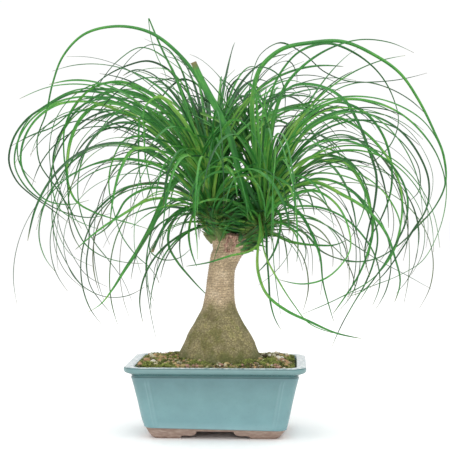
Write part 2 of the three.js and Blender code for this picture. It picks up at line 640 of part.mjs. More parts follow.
function layLeaves() {
  const leaves = [];
  for (const [head, wide, reach, marks, end = 0] of drawnLeaves) {
    const turn = draw(35, 75) * (draw(0, 1) < 0.5 ? -1 : 1);
    const twist = draw(-45, 45);
    let placed = false;
    for (let tries = 0; tries < 40 && !placed; tries += 1) {
      const nudge = Math.ceil(tries / 2) * 7 * (tries % 2 === 0 ? 1 : -1);
      const leaf = { head, wide, end, turn, twist, path: drawnPath(head, reach + nudge, marks) };
      placed = leafFits(leaf, leaves);
      if (placed) leaves.push(leaf);
    }
  }
  for (let k = 0; k < freePerHead * 2; k += 1) {
    const head = k % 2 === 0 ? 'left' : 'right';
    const out = head === 'left' ? 180 : 0;
    const near = k % 4 < 2 ? -1 : 1;
    const long = k % 6 < 2;
    for (let tries = 0; tries < 60; tries += 1) {
      const wide = draw(6, 9);
      const heading = out + (head === 'left' ? -near : near) * draw(20, 100);
      const rise = long ? draw(48, 74) : draw(62, 86);
      const fall = long ? draw(-95, -60) : draw(-70, -10);
      const length = long ? draw(300, 470) : draw(170, 300);
      const path = freePath(head, heading, rise, fall, length, draw(-25, 25));
      const leaf = { head, wide, end: 0, turn: draw(-30, 30), twist: draw(-60, 60), path };
      if (staysInside(path) && leafFits(leaf, leaves)) {
        leaves.push(leaf);
        break;
      }
    }
  }
  return leaves;
}

// one leaf: flat on top with a keel below, cut apart and joined again where it is folded over
function bladeBodies(leaf) {
  const { path } = leaf;
  const last = path.length - 1;
  const far = sub(path[Math.ceil(last / 2)], path[0]);
  const side = unit([-far[1], far[0] + 0.001, 0]);
  const heading = path.map((point, k) => {
    return unit(sub(path[Math.min(k + 1, last)], path[Math.max(k - 1, 0)]));
  });
  const section = (k, ahead) => {
    const share = k / last;
    const flat = unit(sub(side, times(ahead, dot(side, ahead))));
    const lean = radians(leaf.turn + leaf.twist * share);
    const up = cross(flat, ahead);
    const across = add(times(flat, Math.cos(lean)), times(up, Math.sin(lean)));
    const below = cross(across, ahead);
    const wide = leafWidth(leaf, share);
    const half = times(across, wide / 2);
    const keel = times(below, keelDepth + 0.06 * wide);
    return [sub(path[k], half), add(path[k], half), add(path[k], keel)];
  };
  const bodies = [];
  let rings = [section(0, heading[0])];
  for (let k = 1; k <= last; k += 1) {
    const before = unit(sub(path[k], path[k - 1]));
    const after = k < last ? unit(sub(path[k + 1], path[k])) : before;
    if (dot(before, after) > 0.2) {
      rings.push(section(k, heading[k]));
    } else {
      rings.push(section(k, before));
      bodies.push(skin(rings));
      rings = [section(k, after)];
    }
  }
  bodies.push(skin(rings));
  return bodies;
}

function makeCrown(head, leaves) {
  const { foot, end, width } = heads[head];
  const up = unit(sub(end, foot));
  const seat = add(foot, times(up, seatGap));
  const core = branch(
    [
      [seat, width + 0.5],
      [between(seat, end, 0.3), width + 3],
      [between(seat, end, 0.7), width + 2],
      [between(seat, end, 0.95), width - 2],
      [add(end, times(up, 6)), 3],
    ],
    0,
    12,
  );
  const own = leaves.filter((leaf) => leaf.head === head);
  return filled(joined([core, ...own.flatMap(bladeBodies)]));
}

// ---- the whole ----
const looks = {
  pot: ['#8fb9bd', 0.2],
  drain_screen: ['#3a3d3c', 0.6],
  soil: ['#7a7148', 0.95],
  trunk: ['#9c8d68', 0.85],
  crown: ['#3f8a3a', 0.55],
};

function named(name, body) {
  const mesh = body.getMesh();
  const geometry = new THREE.BufferGeometry();
  const count = mesh.vertProperties.length / mesh.numProp;
  const spots = new Float32Array(count * 3);
  for (let k = 0; k < count; k += 1) {
    for (let axis = 0; axis < 3; axis += 1) {
      const move = axis < 2 ? plantShift[axis] : 0;
      spots[k * 3 + axis] = mesh.vertProperties[k * mesh.numProp + axis] + move;
    }
  }
  geometry.setAttribute('position', new THREE.BufferAttribute(spots, 3));
  geometry.setIndex(new THREE.BufferAttribute(new Uint32Array(mesh.triVerts), 1));
  const whole = mergeVertices(geometry, 1e-4);
  whole.computeVertexNormals();
  const [colour, roughness] = looks[Object.keys(looks).find((key) => name.startsWith(key))];
  const material = new THREE.MeshStandardMaterial({ color: colour, roughness, flatShading: true });
  const piece = new THREE.Mesh(whole, material);
  piece.name = name;
  return piece;
}

const leaves = layLeaves();
const group = new THREE.Group();
group.name = 'potted_ponytail_palm';
group.add(named('pot', makePot()));
group.add(named('drain_screen_left', makeScreen(-1)));
group.add(named('drain_screen_right', makeScreen(1)));
group.add(named('soil', makeSoil()));
group.add(named('trunk', makeTrunk()));
group.add(named('crown_left', makeCrown('left', leaves)));
group.add(named('crown_right', makeCrown('right', leaves)));

export default group;
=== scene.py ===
import math

import bmesh
import bpy
import numpy as np
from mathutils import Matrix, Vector, noise


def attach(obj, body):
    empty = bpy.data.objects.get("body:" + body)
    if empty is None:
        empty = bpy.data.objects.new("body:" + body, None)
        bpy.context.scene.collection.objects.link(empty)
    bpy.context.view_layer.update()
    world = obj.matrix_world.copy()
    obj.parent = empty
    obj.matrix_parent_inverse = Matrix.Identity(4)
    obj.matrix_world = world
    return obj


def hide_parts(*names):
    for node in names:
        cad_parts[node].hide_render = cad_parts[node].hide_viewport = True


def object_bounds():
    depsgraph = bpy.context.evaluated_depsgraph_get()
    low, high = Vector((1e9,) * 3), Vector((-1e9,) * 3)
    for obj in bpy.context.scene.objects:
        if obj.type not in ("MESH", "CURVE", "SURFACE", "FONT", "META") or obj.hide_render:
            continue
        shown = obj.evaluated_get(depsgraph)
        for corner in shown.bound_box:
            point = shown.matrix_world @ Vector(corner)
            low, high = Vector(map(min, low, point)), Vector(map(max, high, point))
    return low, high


# Ponytail palm in a glazed bonsai pot. Lengths are millimetres until a mesh is made, which turns
# them to metres. Heights are above the table, and the pot's middle is the origin until then.
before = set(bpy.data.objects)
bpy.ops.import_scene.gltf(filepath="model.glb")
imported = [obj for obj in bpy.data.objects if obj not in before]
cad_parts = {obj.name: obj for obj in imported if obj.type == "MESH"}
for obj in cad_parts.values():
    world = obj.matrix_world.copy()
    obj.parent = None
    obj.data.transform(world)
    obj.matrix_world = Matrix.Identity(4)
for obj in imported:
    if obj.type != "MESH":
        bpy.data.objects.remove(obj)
cad_low, cad_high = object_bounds()

MM = 0.001
# the pot's middle lies here in the frame, because the origin is the middle of the whole outline
POT_MIDDLE = np.array([-8.0, -3.0, 0.0])
# the eye point from which the traced leaves were drawn, which is also the camera's place
EYE = np.array([86.0, -1498.0, 263.0])
# the camera's turn to the left and its dip, in degrees, and its lens and sensor in mm
VIEW_TURN = 2.96
VIEW_DIP = 0.98
LENS = 104.8
SENSOR = 36

# outer face of the pot: height, half length, corner radius
POT_FACE = [
    (0, 69.8, 8), (1.2, 71.6, 9), (5, 74.4, 10), (10.9, 78.2, 11), (11.3, 78.6, 11.2),
    (12.2, 79.8, 11.5), (24, 82.8, 12), (42, 86.6, 13), (58, 90.3, 14), (68, 92.9, 14.8),
    (69.4, 93.4, 15), (70.2, 93.3, 15), (70.8, 92.8, 14.6), (71.8, 92.9, 14.8), (72.8, 93.8, 15.6),
    (73.7, 95.4, 16.8), (74.5, 97.6, 18.5), (75.3, 99.6, 20), (76.4, 100.9, 21.2), (78.2, 101.5, 22),
    (80, 101.4, 22), (81.1, 100.8, 21.6), (81.8, 99.8, 21),
]
# rim top and inner face: height, half length, corner radius
POT_INSIDE = [
    (82, 97.6, 19.5), (82, 93.4, 16), (81.7, 91.2, 14.4), (80.8, 90.1, 13.4), (79, 89.5, 13),
    (76, 88.6, 12), (62, 84.8, 11), (42, 80.2, 10), (24, 76.2, 9), (17, 73.8, 8.4), (15, 72, 7.6),
]
# the pot's half length less its half depth, the same at every height
WALL_STEP = 25.5
# the glaze ends here at the middle, and lower by this much a millimetre to the right
GLAZE_END_Z = 11.3
GLAZE_SLOPE = 0.017
# the glaze runs down the inside to this height
GLAZE_INSIDE_Z = 70
# the top and the underside of the pot's floor
FLOOR_TOP = 15
UNDERSIDE_Z = 9
# foot and bracket outline from the foot's inner end towards the middle of a side: along, height
BRACKET = [(39.6, -1), (39, 0.3), (38.4, 2.2), (37, 3.3), (35, 3.6), (28, 3.5), (25, 3.9), (22.6, 5),
           (21.2, 6.8), (20.8, 9)]

# the two drain holes: distance from the middle and radius
DRAIN_X = 36
DRAIN_RADIUS = 8

# trunk outline as seen from the eye: height, left edge, right edge
TRUNK_EDGES = [
    (30, -10, 18), (38, -24, 32), (50, -36, 44), (66, -43, 51), (80, -44, 52), (89, -42, 50),
    (99, -38.5, 45.5), (110, -34.5, 39.5), (120, -29.5, 33), (130, -23.6, 27), (137, -20, 23.4),
    (144, -17, 21.2), (152, -15.4, 19.8), (163, -13.4, 19.2), (176, -11.8, 19.4), (189, -10, 20.6),
    (198, -8.8, 23), (206, -7, 25), (213, -2, 22),
]
# how flat the trunk's outline is seen from above, and where its middle lies at the roots
TRUNK_FLAT = 0.96
TRUNK_MIDDLE_X = 4
# the arms and the dried stub of a cut arm: points and radii
LEFT_ARM = [((9, 0, 192), 13), ((5, 0, 212), 10.5), ((0, 0, 230), 9)]
RIGHT_ARM = [((9, 0, 190), 12), ((19, 0, 208), 11), ((36, 0, 223), 10)]
CUT_STUB = [((10, -2, 204), 10), ((15, -7, 218), 8), ((18, -10, 228), 7)]
# roots under the soil: heading in degrees, reach, end height
ROOTS = [(10, 66, 26), (75, 46, 22), (150, 62, 30), (200, 68, 22), (285, 44, 28), (330, 64, 20)]
# heads: the arm, the length of the leafy core and its radius at the foot
CORES = {"left": (LEFT_ARM, 34, 12), "right": (RIGHT_ARM, 32, 11)}
# a leaf's narrowest width in the layout, and the clear room between leaves of the two heads
TIP_WIDTH = 1.3
LEAF_GAP = 2.5
# how far a leaf's foot lies from the core's middle line, and its width there as a share of the full one
FOOT_OFFSET = 8
NECK_SHARE = 0.45
# main leaves of each head that aren't traced
FREE_PER_HEAD = 17

# leaves traced from the picture: head, width at the foot, how far the tip lies behind (+) or
# before (-) the head, the path as seen from the eye point [across, up], and the share of the
# width that is left where a tip was cut
TRACED_LEAVES = [
    ['left', 7, -25, [[-12, 290], [-25, 337], [-38, 378], [-50, 409], [-66, 443], [-79, 474], [-76, 451],
     [-69, 430], [-60, 411], [-58, 397]]],
    ['left', 5, 40, [[-10, 295], [-20, 340], [-31, 382], [-44, 420], [-58, 439], [-76, 444], [-94, 434],
     [-108, 419], [-118, 403], [-127, 384]]],
    ['left', 5.5, 90, [[-12, 296], [-24, 342], [-38, 385], [-56, 415], [-78, 425], [-104, 420], [-130, 407],
     [-152, 388], [-169, 365], [-179, 343], [-185, 322]]],
    ['left', 4, -60, [[-14, 290], [-28, 335], [-42, 380], [-58, 402], [-80, 406], [-104, 398], [-126, 380],
     [-144, 356]]],
    ['left', 8.5, -95, [[-14, 285], [-34, 330], [-58, 370], [-86, 393], [-116, 401], [-142, 395],
     [-163, 376], [-176, 348], [-177, 320], [-173, 290], [-171, 262], [-164, 237], [-152, 215],
     [-134, 202], [-110, 195], [-86, 193]]],
    ['left', 9, -60, [[-18, 284], [-44, 325], [-74, 356], [-106, 374], [-136, 376], [-156, 361],
     [-168, 338], [-173, 310], [-172, 284], [-163, 265], [-142, 252], [-118, 244], [-96, 238],
     [-78, 232]]],
    ['left', 6, 30, [[-24, 290], [-58, 336], [-96, 370], [-134, 389], [-166, 389], [-196, 375], [-221, 358],
     [-237, 334], [-241, 310], [-232, 288], [-214, 271], [-194, 257], [-172, 240]]],
    ['left', 5.5, -35, [[-22, 286], [-52, 328], [-88, 362], [-124, 380], [-160, 384], [-192, 375],
     [-217, 356], [-231, 332], [-234, 306], [-222, 282], [-200, 264], [-174, 251], [-148, 246],
     [-122, 251]]],
    ['left', 6, -80, [[-20, 280], [-48, 318], [-82, 350], [-118, 370], [-154, 379], [-186, 375],
     [-210, 358], [-224, 334], [-227, 308], [-216, 284], [-196, 265], [-172, 261], [-148, 266]]],
    ['left', 6, 130, [[-16, 286], [-36, 332], [-62, 368], [-92, 388], [-122, 391], [-148, 380], [-170, 360],
     [-185, 334], [-190, 310], [-184, 284], [-175, 260], [-167, 240]]],
    ['left', 8, -110, [[-12, 290], [-26, 334], [-46, 366], [-68, 384], [-82, 374], [-84, 342], [-82, 310],
     [-76, 278], [-70, 252]]],
    ['left', 7, -130, [[-22, 278], [-48, 314], [-80, 338], [-106, 335], [-121, 310], [-125, 285],
     [-120, 255], [-109, 223], [-94, 203], [-76, 186], [-67, 171]]],
    ['left', 8, -150, [[-20, 270], [-44, 300], [-76, 325], [-98, 323], [-111, 303], [-118, 280],
     [-122, 258], [-124, 240]]],
    ['left', 5.5, 70, [[-22, 280], [-50, 316], [-84, 342], [-118, 349], [-146, 338], [-166, 314],
     [-182, 284], [-191, 252], [-187, 222], [-174, 193], [-154, 166], [-130, 155], [-104, 156],
     [-84, 166]]],
    ['left', 5, -40, [[-20, 272], [-48, 302], [-82, 322], [-116, 330], [-146, 325], [-172, 305],
     [-190, 279], [-203, 250], [-206, 222], [-199, 199], [-186, 182]]],
    ['left', 6.5, -125, [[-24, 272], [-54, 298], [-88, 311], [-122, 312], [-152, 303], [-176, 289],
     [-196, 268], [-208, 245]]],
    ['left', 6, 120, [[-24, 266], [-50, 282], [-80, 285], [-108, 278], [-131, 262], [-146, 243],
     [-148, 218], [-151, 190], [-146, 166], [-136, 151], [-125, 138]]],
    ['left', 11, -75, [[-18, 274], [-36, 297], [-54, 282], [-65, 260], [-76, 236], [-92, 208], [-108, 184],
     [-122, 162], [-136, 145], [-149, 137]]],
    ['left', 6.5, 60, [[-20, 284], [-50, 328], [-86, 352], [-122, 352], [-146, 332], [-158, 304],
     [-161, 274], [-156, 247], [-142, 218], [-124, 195], [-108, 172], [-99, 150]]],
    ['left', 6.5, -160, [[-24, 256], [-52, 267], [-82, 265], [-108, 250], [-136, 232], [-164, 209]]],
    ['left', 6, 160, [[-26, 252], [-56, 258], [-86, 254], [-112, 240], [-124, 226], [-132, 211]]],
    ['left', 6, -100, [[-24, 262], [-54, 277], [-84, 278], [-106, 265], [-118, 245], [-130, 232],
     [-146, 222]]],
    ['left', 6, 100, [[-20, 260], [-42, 266], [-62, 254], [-76, 228], [-82, 196], [-81, 164], [-77, 136],
     [-71, 108]]],
    ['left', 7, -70, [[-18, 254], [-38, 256], [-55, 244], [-66, 226], [-75, 206]], 0.7],
    ['left', 5, -120, [[-16, 252], [-36, 254], [-52, 242], [-62, 222], [-67, 200], [-70, 180], [-68, 171]]],
    ['left', 5.5, -45, [[-16, 250], [-27, 248], [-33, 230], [-31, 210], [-24, 190]]],
    ['left', 9, -85, [[-12, 276], [-22, 290], [-27, 270], [-27, 244], [-24, 220], [-23, 198]]],
    ['left', 6, 60, [[-18, 252], [-38, 254], [-54, 236], [-56, 214], [-46, 195], [-32, 178], [-18, 163],
     [-4, 150]]],
    ['left', 8.5, -55, [[-16, 278], [-21, 304], [-10, 334], [4, 352], [20, 378], [37, 399], [48, 385],
     [59, 366], [64, 344]]],
    ['left', 4, -140, [[-22, 262], [-50, 276], [-76, 272], [-92, 252], [-96, 226], [-94, 202], [-88, 181]]],
    ['left', 4.5, -30, [[-20, 256], [-44, 262], [-64, 250], [-77, 226], [-77, 207], [-64, 198], [-46, 199],
     [-30, 211]]],
    ['left', 4.5, 150, [[-16, 282], [-40, 322], [-70, 352], [-100, 366], [-126, 362], [-148, 345],
     [-164, 322], [-172, 296]]],
    ['left', 4, -120, [[-18, 286], [-44, 330], [-76, 362], [-110, 382], [-140, 381], [-166, 369],
     [-190, 350], [-214, 341], [-239, 328]]],
    ['left', 4, 110, [[-22, 276], [-54, 312], [-92, 338], [-130, 350], [-162, 346], [-186, 331],
     [-203, 310], [-215, 281]]],
    ['left', 8, 90, [[-6, 290], [-8, 330], [-13, 370], [-24, 398], [-40, 404], [-58, 392], [-70, 372],
     [-76, 348]]],
    ['left', 8.5, -90, [[-16, 276], [-34, 318], [-54, 352], [-78, 371], [-104, 372], [-126, 358],
     [-140, 336]]],
    ['left', 6, 60, [[2, 285], [8, 325], [12, 362], [13, 392], [24, 404], [36, 397], [44, 380]]],
    ['left', 4.5, -80, [[2, 290], [4, 335], [7, 372], [14, 400], [34, 414], [54, 417], [70, 408], [77, 386],
     [76, 362]]],
    ['right', 5, 70, [[44, 290], [40, 335], [36, 375], [40, 410], [50, 433], [72, 445], [98, 433],
     [122, 412], [150, 401], [180, 400], [210, 403], [238, 410]]],
    ['right', 7.5, -30, [[45, 290], [42, 335], [40, 378], [50, 418], [72, 437], [106, 445], [142, 446],
     [176, 432], [206, 411], [228, 380], [245, 346], [257, 316], [259, 285], [247, 258], [228, 236],
     [204, 213], [180, 199], [150, 196], [122, 206]]],
    ['right', 7, 110, [[46, 290], [50, 335], [58, 374], [72, 410], [96, 436], [126, 444], [158, 432],
     [184, 410], [200, 382], [206, 356], [199, 332], [182, 313], [166, 303]]],
    ['right', 7.5, -60, [[50, 288], [58, 330], [65, 364], [80, 400], [104, 424], [132, 440], [162, 448],
     [194, 445], [223, 433]]],
    ['right', 4.5, 140, [[54, 285], [66, 324], [88, 362], [116, 390], [150, 400], [186, 396], [218, 380],
     [240, 360]]],
    ['right', 5.5, 50, [[54, 282], [70, 325], [96, 361], [130, 380], [168, 383], [204, 374], [234, 355],
     [252, 328], [259, 296], [259, 262], [250, 227], [232, 196], [206, 180], [176, 168], [141, 155]]],
    ['right', 7, -100, [[56, 278], [76, 322], [104, 361], [138, 379], [174, 378], [206, 365], [234, 340],
     [252, 310], [258, 282], [246, 257], [228, 238]]],
    ['right', 5.5, -130, [[56, 274], [78, 315], [108, 352], [142, 366], [176, 362], [206, 346], [228, 319],
     [240, 288], [238, 258], [222, 230], [206, 204], [190, 182], [174, 166]]],
    ['right', 4, 160, [[60, 274], [84, 315], [116, 348], [152, 358], [188, 348], [216, 325], [230, 298],
     [228, 274], [213, 262]]],
    ['right', 7.5, -90, [[56, 270], [76, 304], [102, 345], [132, 360], [160, 348], [186, 324], [203, 296],
     [210, 264], [207, 232], [196, 200], [178, 176], [163, 152]]],
    ['right', 8, -120, [[47, 288], [52, 330], [62, 372], [88, 396], [118, 395], [146, 378], [160, 354],
     [172, 324], [181, 292], [179, 262], [172, 232], [168, 200], [174, 178]]],
    ['right', 7.5, 90, [[54, 282], [74, 328], [104, 364], [136, 377], [168, 365], [188, 340], [198, 306],
     [197, 274], [186, 244], [174, 222], [168, 205]]],
    ['right', 5.5, -150, [[58, 268], [80, 302], [110, 329], [142, 334], [176, 322], [202, 301], [216, 270],
     [214, 240], [202, 214], [184, 184], [164, 161], [148, 156]]],
    ['right', 5, 120, [[58, 266], [80, 304], [108, 328], [136, 320], [160, 300], [172, 272], [176, 242],
     [174, 212], [168, 186]]],
    ['right', 6.5, -100, [[58, 262], [80, 296], [110, 315], [142, 312], [162, 292], [168, 266], [160, 238],
     [150, 220]]],
    ['right', 8, -60, [[60, 262], [84, 290], [114, 309], [146, 308], [164, 286], [174, 258], [177, 232],
     [171, 204], [160, 178], [146, 156], [132, 136]]],
    ['right', 7, 60, [[58, 256], [80, 282], [112, 296], [144, 293], [170, 284], [188, 281]]],
    ['right', 8.5, -125, [[58, 254], [80, 275], [110, 286], [142, 272], [172, 253], [192, 228], [202, 200],
     [208, 172], [202, 150]]],
    ['right', 7, -160, [[58, 250], [82, 270], [112, 276], [136, 260], [149, 234], [151, 210], [140, 191],
     [122, 176], [98, 170], [70, 175]]],
    ['right', 5, 170, [[58, 250], [78, 265], [98, 266], [118, 252], [136, 236]]],
    ['right', 8, -100, [[56, 250], [74, 262], [92, 253], [108, 228], [118, 200], [121, 172], [127, 148],
     [133, 127]]],
    ['right', 5.5, 80, [[60, 246], [84, 257], [112, 258], [142, 247], [166, 225], [181, 198], [185, 170],
     [177, 146]]],
    ['right', 5, 20, [[60, 244], [88, 250], [122, 238], [154, 216], [184, 197], [214, 181], [243, 165]]],
    ['right', 6, -80, [[60, 240], [80, 236], [95, 223], [101, 206], [98, 192]]],
    ['right', 7.5, -40, [[60, 228], [84, 218], [114, 214], [136, 215], [149, 221]]],
    ['right', 6, 110, [[60, 240], [84, 237], [104, 224], [118, 208], [138, 199], [160, 196]]],
    ['right', 8, -110, [[49, 246], [50, 236], [47, 212], [47, 184], [57, 158], [80, 139], [108, 126],
     [136, 114], [164, 108]]],
    ['right', 7, -80, [[53, 246], [56, 232], [57, 206], [59, 176], [61, 148], [66, 130], [73, 117]]],
    ['right', 6, -140, [[48, 250], [50, 232], [55, 204], [70, 174], [88, 146], [104, 126], [132, 114]]],
    ['right', 6.5, -60, [[60, 258], [71, 250], [71, 228], [62, 202], [46, 183]]],
    ['right', 4, 60, [[64, 262], [84, 260], [87, 234], [82, 206], [66, 184], [46, 168]]],
    ['right', 8.5, -40, [[38, 256], [26, 280], [13, 297], [-6, 296], [-20, 284], [-27, 270]]],
    ['right', 7, -40, [[35, 264], [22, 308], [8, 350], [-14, 390], [-40, 428], [-78, 458], [-118, 465],
     [-154, 456], [-178, 431], [-190, 400], [-198, 365], [-208, 336], [-205, 308], [-186, 280],
     [-170, 255], [-157, 233]]],
    ['right', 9.5, -75, [[36, 262], [26, 296], [14, 340], [-2, 374], [-16, 400], [-27, 424]], 0.8],
    ['right', 5, -45, [[36, 252], [24, 253], [10, 234], [0, 210], [-6, 190]]],
    ['right', 5.5, -70, [[48, 240], [51, 222], [38, 208], [14, 202], [-12, 194], [-36, 190]]],
    ['right', 4, -100, [[48, 290], [50, 330], [52, 368], [62, 395], [80, 402], [98, 398], [106, 388],
     [98, 379], [82, 372]]],
    ['right', 5, 30, [[44, 292], [40, 340], [40, 378], [48, 407], [66, 421], [82, 424], [90, 410],
     [90, 394]]],
    ['right', 9, 40, [[42, 280], [36, 320], [32, 358], [34, 388], [46, 395], [52, 376], [54, 350]]],
    ['right', 8, -60, [[46, 284], [48, 320], [46, 356], [44, 386], [52, 372], [60, 346]]],
    ['right', 6, 100, [[58, 258], [84, 280], [116, 290], [148, 280], [172, 256], [182, 226], [178, 196],
     [168, 170], [154, 146], [142, 124], [131, 99]]],
    ['right', 4.5, -60, [[60, 262], [92, 292], [130, 304], [168, 292], [196, 266], [208, 236], [200, 206],
     [176, 176], [142, 156], [98, 136]]],
]


# ---- numbers, colours and small helpers ----
# two seeded rows: a plain congruential one lays out the main leaves just as in the solids, and
# the other does all the rest
SEED = 20417
ROW_TIMES, ROW_PLUS, ROW_SIZE = 1664525, 1013904223, 2 ** 32
layout_seed = SEED
chance = np.random.default_rng(SEED)


def draw(low, high):
    """The next number of the seeded row that lays out the main leaves."""
    global layout_seed
    layout_seed = (layout_seed * ROW_TIMES + ROW_PLUS) % ROW_SIZE
    return low + (high - low) * layout_seed / ROW_SIZE


def pick(low, high):
    """A random number for everything else."""
    return float(chance.uniform(low, high))


def linear(colour):
    """An sRGB hex colour as linear RGBA."""
    parts = [int(colour[k:k + 2], 16) / 255 for k in (1, 3, 5)]
    return [c / 12.92 if c <= 0.04045 else ((c + 0.055) / 1.055) ** 2.4 for c in parts] + [1.0]


def unit(v):
    """The direction, or rows of directions, with length one."""
    v = np.asarray(v, float)
    return v / np.linalg.norm(v, axis=-1, keepdims=True)


def between(a, b, share):
    """The point a share of the way from a to b."""
    return np.asarray(a, float) + (np.asarray(b, float) - np.asarray(a, float)) * share


def ease(low, high, x):
    """0 below low, 1 above high and a smooth rise between them."""
    t = np.clip((np.asarray(x, float) - low) / (high - low), 0, 1)
    return t * t * (3 - 2 * t)


def smooth_path(points, step):
    """A smooth line through points with a station about every step, and each station's share of it."""
    p = np.asarray(points, float)
    h = np.linalg.norm(np.diff(p, axis=0), axis=1)
    run = np.concatenate([[0], np.cumsum(h)])
    slope = np.diff(p, axis=0) / h[:, None]
    pull = np.empty_like(p)
    pull[1:-1] = (slope[:-1] * h[1:, None] + slope[1:] * h[:-1, None]) / (h[1:] + h[:-1])[:, None]
    pull[0] = 1.5 * slope[0] - 0.5 * pull[1] if len(p) > 2 else slope[0]
    pull[-1] = 1.5 * slope[-1] - 0.5 * pull[-2] if len(p) > 2 else slope[-1]
    count = max(3, round(run[-1] / step) + 1)
    at = np.linspace(0, run[-1], count)
    k = np.clip(np.searchsorted(run, at, side="right") - 1, 0, len(h) - 1)
    t = ((at - run[k]) / h[k])[:, None]
    w = h[k][:, None]
    line = (2 * t**3 - 3 * t**2 + 1) * p[k] + (t**3 - 2 * t**2 + t) * w * pull[k]
    line += (3 * t**2 - 2 * t**3) * p[k + 1] + (t**3 - t**2) * w * pull[k + 1]
    return line, at / run[-1]


class Gathered:
    """Many closed shapes put into one mesh, with named numbers kept at every vertex."""

    def __init__(self):
        self.points, self.faces, self.marks, self.count = [], [], {}, 0

    def add(self, points, faces, **marks):
        """One shape's points and faces, with each mark as one number or one a point."""
        points = np.asarray(points, float).reshape(-1, 3)
        self.points.append(points)
        self.faces.extend((np.asarray(f) + self.count).tolist() for f in faces)
        self.count += len(points)
        for name, values in marks.items():
            spread = np.broadcast_to(np.asarray(values, float).ravel(), (len(points),))
            self.marks.setdefault(name, []).append(spread)

    def add_rings(self, rings, **marks):
        """A skin over rings of equal point count, closed at both ends."""
        rings = np.asarray(rings, float)
        rows, sides = rings.shape[:2]
        a = np.arange((rows - 1) * sides).reshape(rows - 1, sides)
        b = np.roll(a, -1, axis=1)
        quads = np.stack([a, b, b + sides, a + sides], -1).reshape(-1, 4)
        self.faces.extend((quads + self.count).tolist())
        self.faces.append((np.arange(sides)[::-1] + self.count).tolist())
        self.faces.append((np.arange(sides) + (rows - 1) * sides + self.count).tolist())
        full = {name: np.broadcast_to(v, (rows, sides)) for name, v in marks.items()}
        self.add(rings, [], **full)

    def mesh(self, name):
        """The shapes as one mesh in metres, at the pot's place in the frame."""
        mesh = bpy.data.meshes.new(name)
        mesh.from_pydata((np.concatenate(self.points) + POT_MIDDLE) * MM, [], self.faces)
        for mark, values in self.marks.items():
            layer = mesh.attributes.new(mark, "FLOAT", "POINT")
            layer.data.foreach_set("value", np.concatenate(values).astype(np.float32))
        outward(mesh)
        return mesh

    def loose(self):
        """The shapes as a plain object, for work that follows."""
        thing = bpy.data.objects.new("work", self.mesh("work"))
        bpy.context.scene.collection.objects.link(thing)
        return thing

    def piece(self, name, materials, slot, replaces, smooth=60):
        """The shapes as a piece that rides on the frame and stands for its solid."""
        return finish_piece(name, self.mesh(name), materials, replaces, smooth)


def outward(mesh):
    """Turns all faces of a closed mesh outwards."""
    work = bmesh.new()
    work.from_mesh(mesh)
    bmesh.ops.recalc_face_normals(work, faces=work.faces)
    work.to_mesh(mesh)
    work.free()


def finish_piece(name, mesh, materials, replaces, smooth):
    """A mesh in metres as a finished piece: soft below the given angle, with its materials on."""
    for face in mesh.polygons:
        face.use_smooth = True
    mesh.set_sharp_from_angle(angle=math.radians(smooth))
    for material in materials:
        mesh.materials.append(material)
    made = bpy.data.objects.new(name, mesh)
    bpy.context.scene.collection.objects.link(made)
    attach(made, "root")
    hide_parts(replaces)
    return made


def add_node(material, kind, inputs=None, stops=None, **settings):
    """Adds a node to a material: its settings, its colour stops, and numbers or links for its
    inputs, named or counted. Inputs 1 to 4 of a map range are from low, from high, to low, to high."""
    tree = material.node_tree
    made = tree.nodes.new(kind)
    for name, value in settings.items():
        setattr(made, name, value)
    if stops:
        ramp = made.color_ramp
        while len(ramp.elements) < len(stops):
            ramp.elements.new(1.0)
        for element, (place, colour) in zip(ramp.elements, stops):
            element.position = place
            element.color = linear(colour)
    for socket, value in (inputs or {}).items():
        if isinstance(value, bpy.types.NodeSocket):
            tree.links.new(value, made.inputs[socket])
        else:
            made.inputs[socket].default_value = value
    return made


def new_material(name):
    """An empty material and its output's surface socket."""
    material = bpy.data.materials.new(name)
    material.use_nodes = True
    material.node_tree.nodes.clear()
    output = material.node_tree.nodes.new("ShaderNodeOutputMaterial")
    return material, output.inputs["Surface"]


